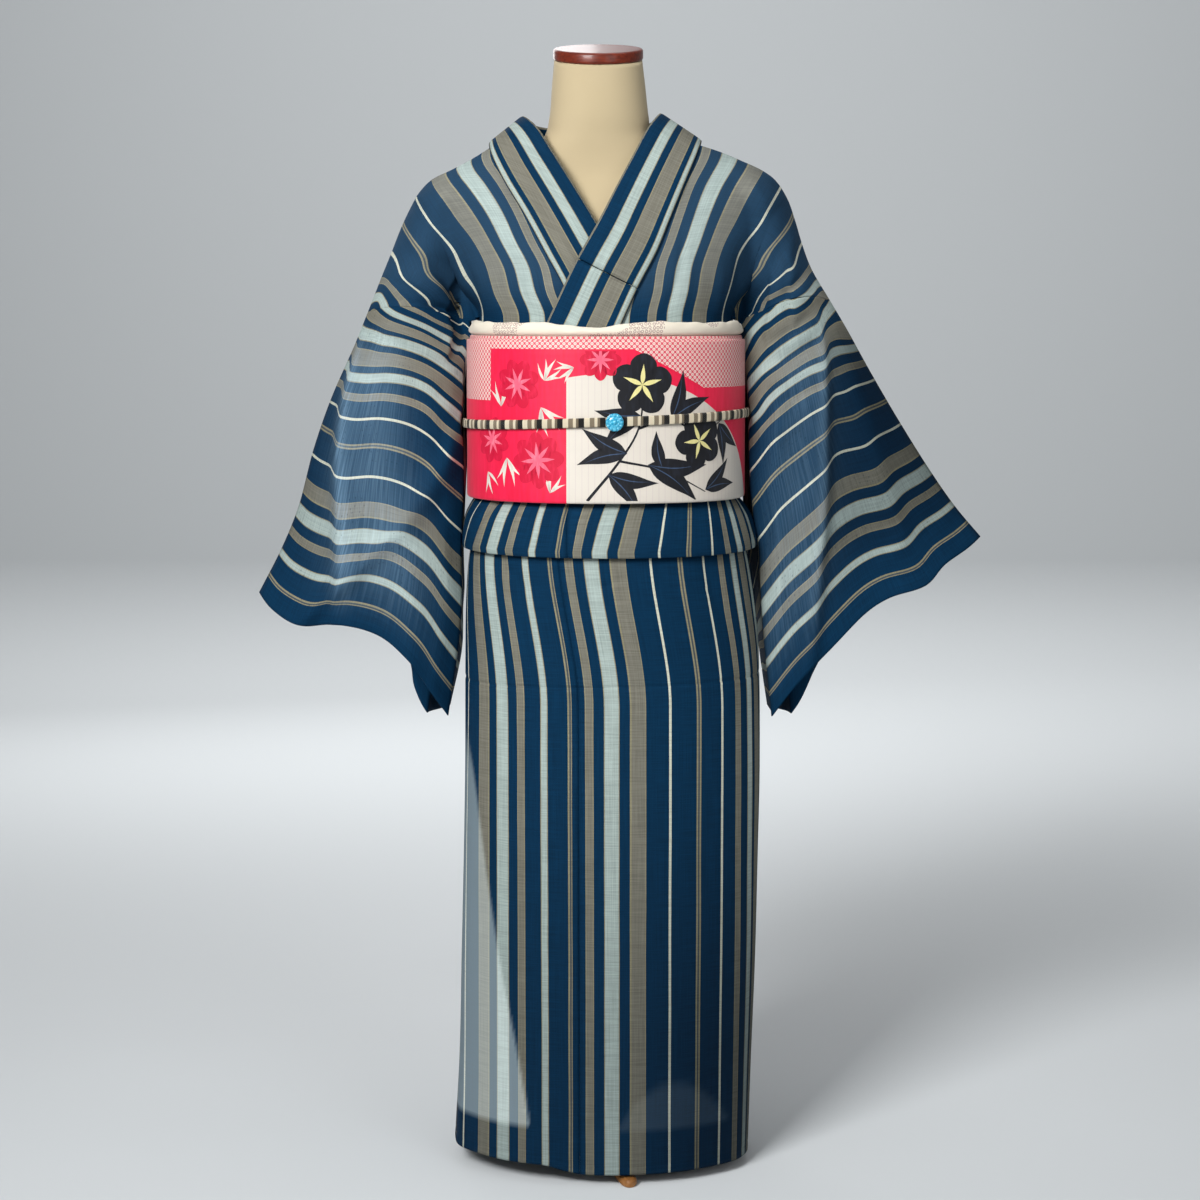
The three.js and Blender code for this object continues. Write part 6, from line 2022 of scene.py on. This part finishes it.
class KIMONO_OT_stage(bpy.types.Operator):
    """Makes the camera, the pale floor and the soft studio light"""

    bl_idname = "kimono.stage"
    bl_label = "Stage"

    def execute(self, context):
        scene = context.scene
        camera = new_piece("camera", bpy.data.cameras.new("camera"))
        camera.location = CAMERA_PLACE
        camera.rotation_euler = (math.radians(90 - CAMERA_DOWN), 0, 0)
        camera.data.lens = CAMERA_LENS
        camera.data.sensor_width = 36
        camera.data.clip_end = 100
        scene.camera = camera

        # A paper sweep: the floor's far edge is drawn up into a wall, and the fold between is rounded.
        bpy.ops.mesh.primitive_plane_add(size=SWEEP_SIZE, location=(0, 0, -0.0004))
        floor = context.object
        floor.name = "floor"
        bpy.ops.object.transform_apply(location=True)
        bpy.ops.object.mode_set(mode="EDIT")
        bpy.ops.mesh.select_all(action="DESELECT")
        self.pick_edge(floor, lambda edge: all(v.co.y > SWEEP_SIZE / 2 - 0.01 for v in edge.verts))
        bpy.ops.mesh.extrude_region_move(TRANSFORM_OT_translate={"value": (0, 0, SWEEP_SIZE / 2)})
        bpy.ops.mesh.select_all(action="DESELECT")
        self.pick_edge(floor, lambda edge: all(
            v.co.y > SWEEP_SIZE / 2 - 0.01 and v.co.z < 0.01 for v in edge.verts))
        bpy.ops.mesh.bevel(offset=SWEEP_SIZE / 4, segments=24)
        bpy.ops.object.mode_set(mode="OBJECT")
        bpy.ops.object.shade_smooth()
        material, _, surface = new_material("pale paper", 0.9, specular=0.2)
        surface.inputs["Base Color"].default_value = linear("#d5d9db")
        floor.data.materials.append(material)
        scene.view_settings.view_transform = "Standard"

        world = bpy.data.worlds.new("studio")
        world.use_nodes = True
        world.node_tree.nodes["Background"].inputs[0].default_value = linear("#eef1f4")
        world.node_tree.nodes["Background"].inputs[1].default_value = 0.26
        scene.world = world
        for name, place, size, power, aim, spread in LAMPS:
            lamp = bpy.data.lights.new(name, "AREA")
            lamp.shape, lamp.size, lamp.energy, lamp.spread = "SQUARE", size, power, math.radians(spread)
            made = new_piece(name, lamp)
            made.location = place
            made.rotation_euler = (Vector(aim) - Vector(place)).to_track_quat("-Z", "Y").to_euler()
        return {"FINISHED"}

    @staticmethod
    def pick_edge(piece, wanted):
        work = bmesh.from_edit_mesh(piece.data)
        for edge in work.edges:
            edge.select = wanted(edge)
        work.select_flush(True)
        bmesh.update_edit_mesh(piece.data)


class KIMONO_PT_panel(bpy.types.Panel):
    """Lists the steps that build the dressed kimono"""

    bl_label = "Kimono"
    bl_idname = "KIMONO_PT_panel"
    bl_space_type = "VIEW_3D"
    bl_region_type = "UI"
    bl_category = "Kimono"

    def draw(self, context):
        for operator in OPERATORS:
            self.layout.operator(operator.bl_idname)
        for group in (context.scene.kimono, context.scene.kimono_sash, context.scene.kimono_form):
            box = self.layout.box()
            for key in group.__annotations__:
                box.prop(group, key)


OPERATORS = (
    KIMONO_OT_stage, KIMONO_OT_dress_form, KIMONO_OT_skirt, KIMONO_OT_tuck, KIMONO_OT_bodice,
    KIMONO_OT_sleeves, KIMONO_OT_collar, KIMONO_OT_sash, KIMONO_OT_sash_back, KIMONO_OT_scarf,
    KIMONO_OT_cord,
)
CLASSES = (KimonoSettings, SashSettings, FormSettings, *OPERATORS, KIMONO_PT_panel)


def register():
    for each in CLASSES:
        bpy.utils.register_class(each)
    bpy.types.Scene.kimono = bpy.props.PointerProperty(type=KimonoSettings)
    bpy.types.Scene.kimono_sash = bpy.props.PointerProperty(type=SashSettings)
    bpy.types.Scene.kimono_form = bpy.props.PointerProperty(type=FormSettings)


def unregister():
    del bpy.types.Scene.kimono, bpy.types.Scene.kimono_sash, bpy.types.Scene.kimono_form
    for each in reversed(CLASSES):
        bpy.utils.unregister_class(each)


def main():
    register()
    for operator in OPERATORS:
        group, action = operator.bl_idname.split(".")
        getattr(getattr(bpy.ops, group), action)()


if __name__ == "__main__":
    main()
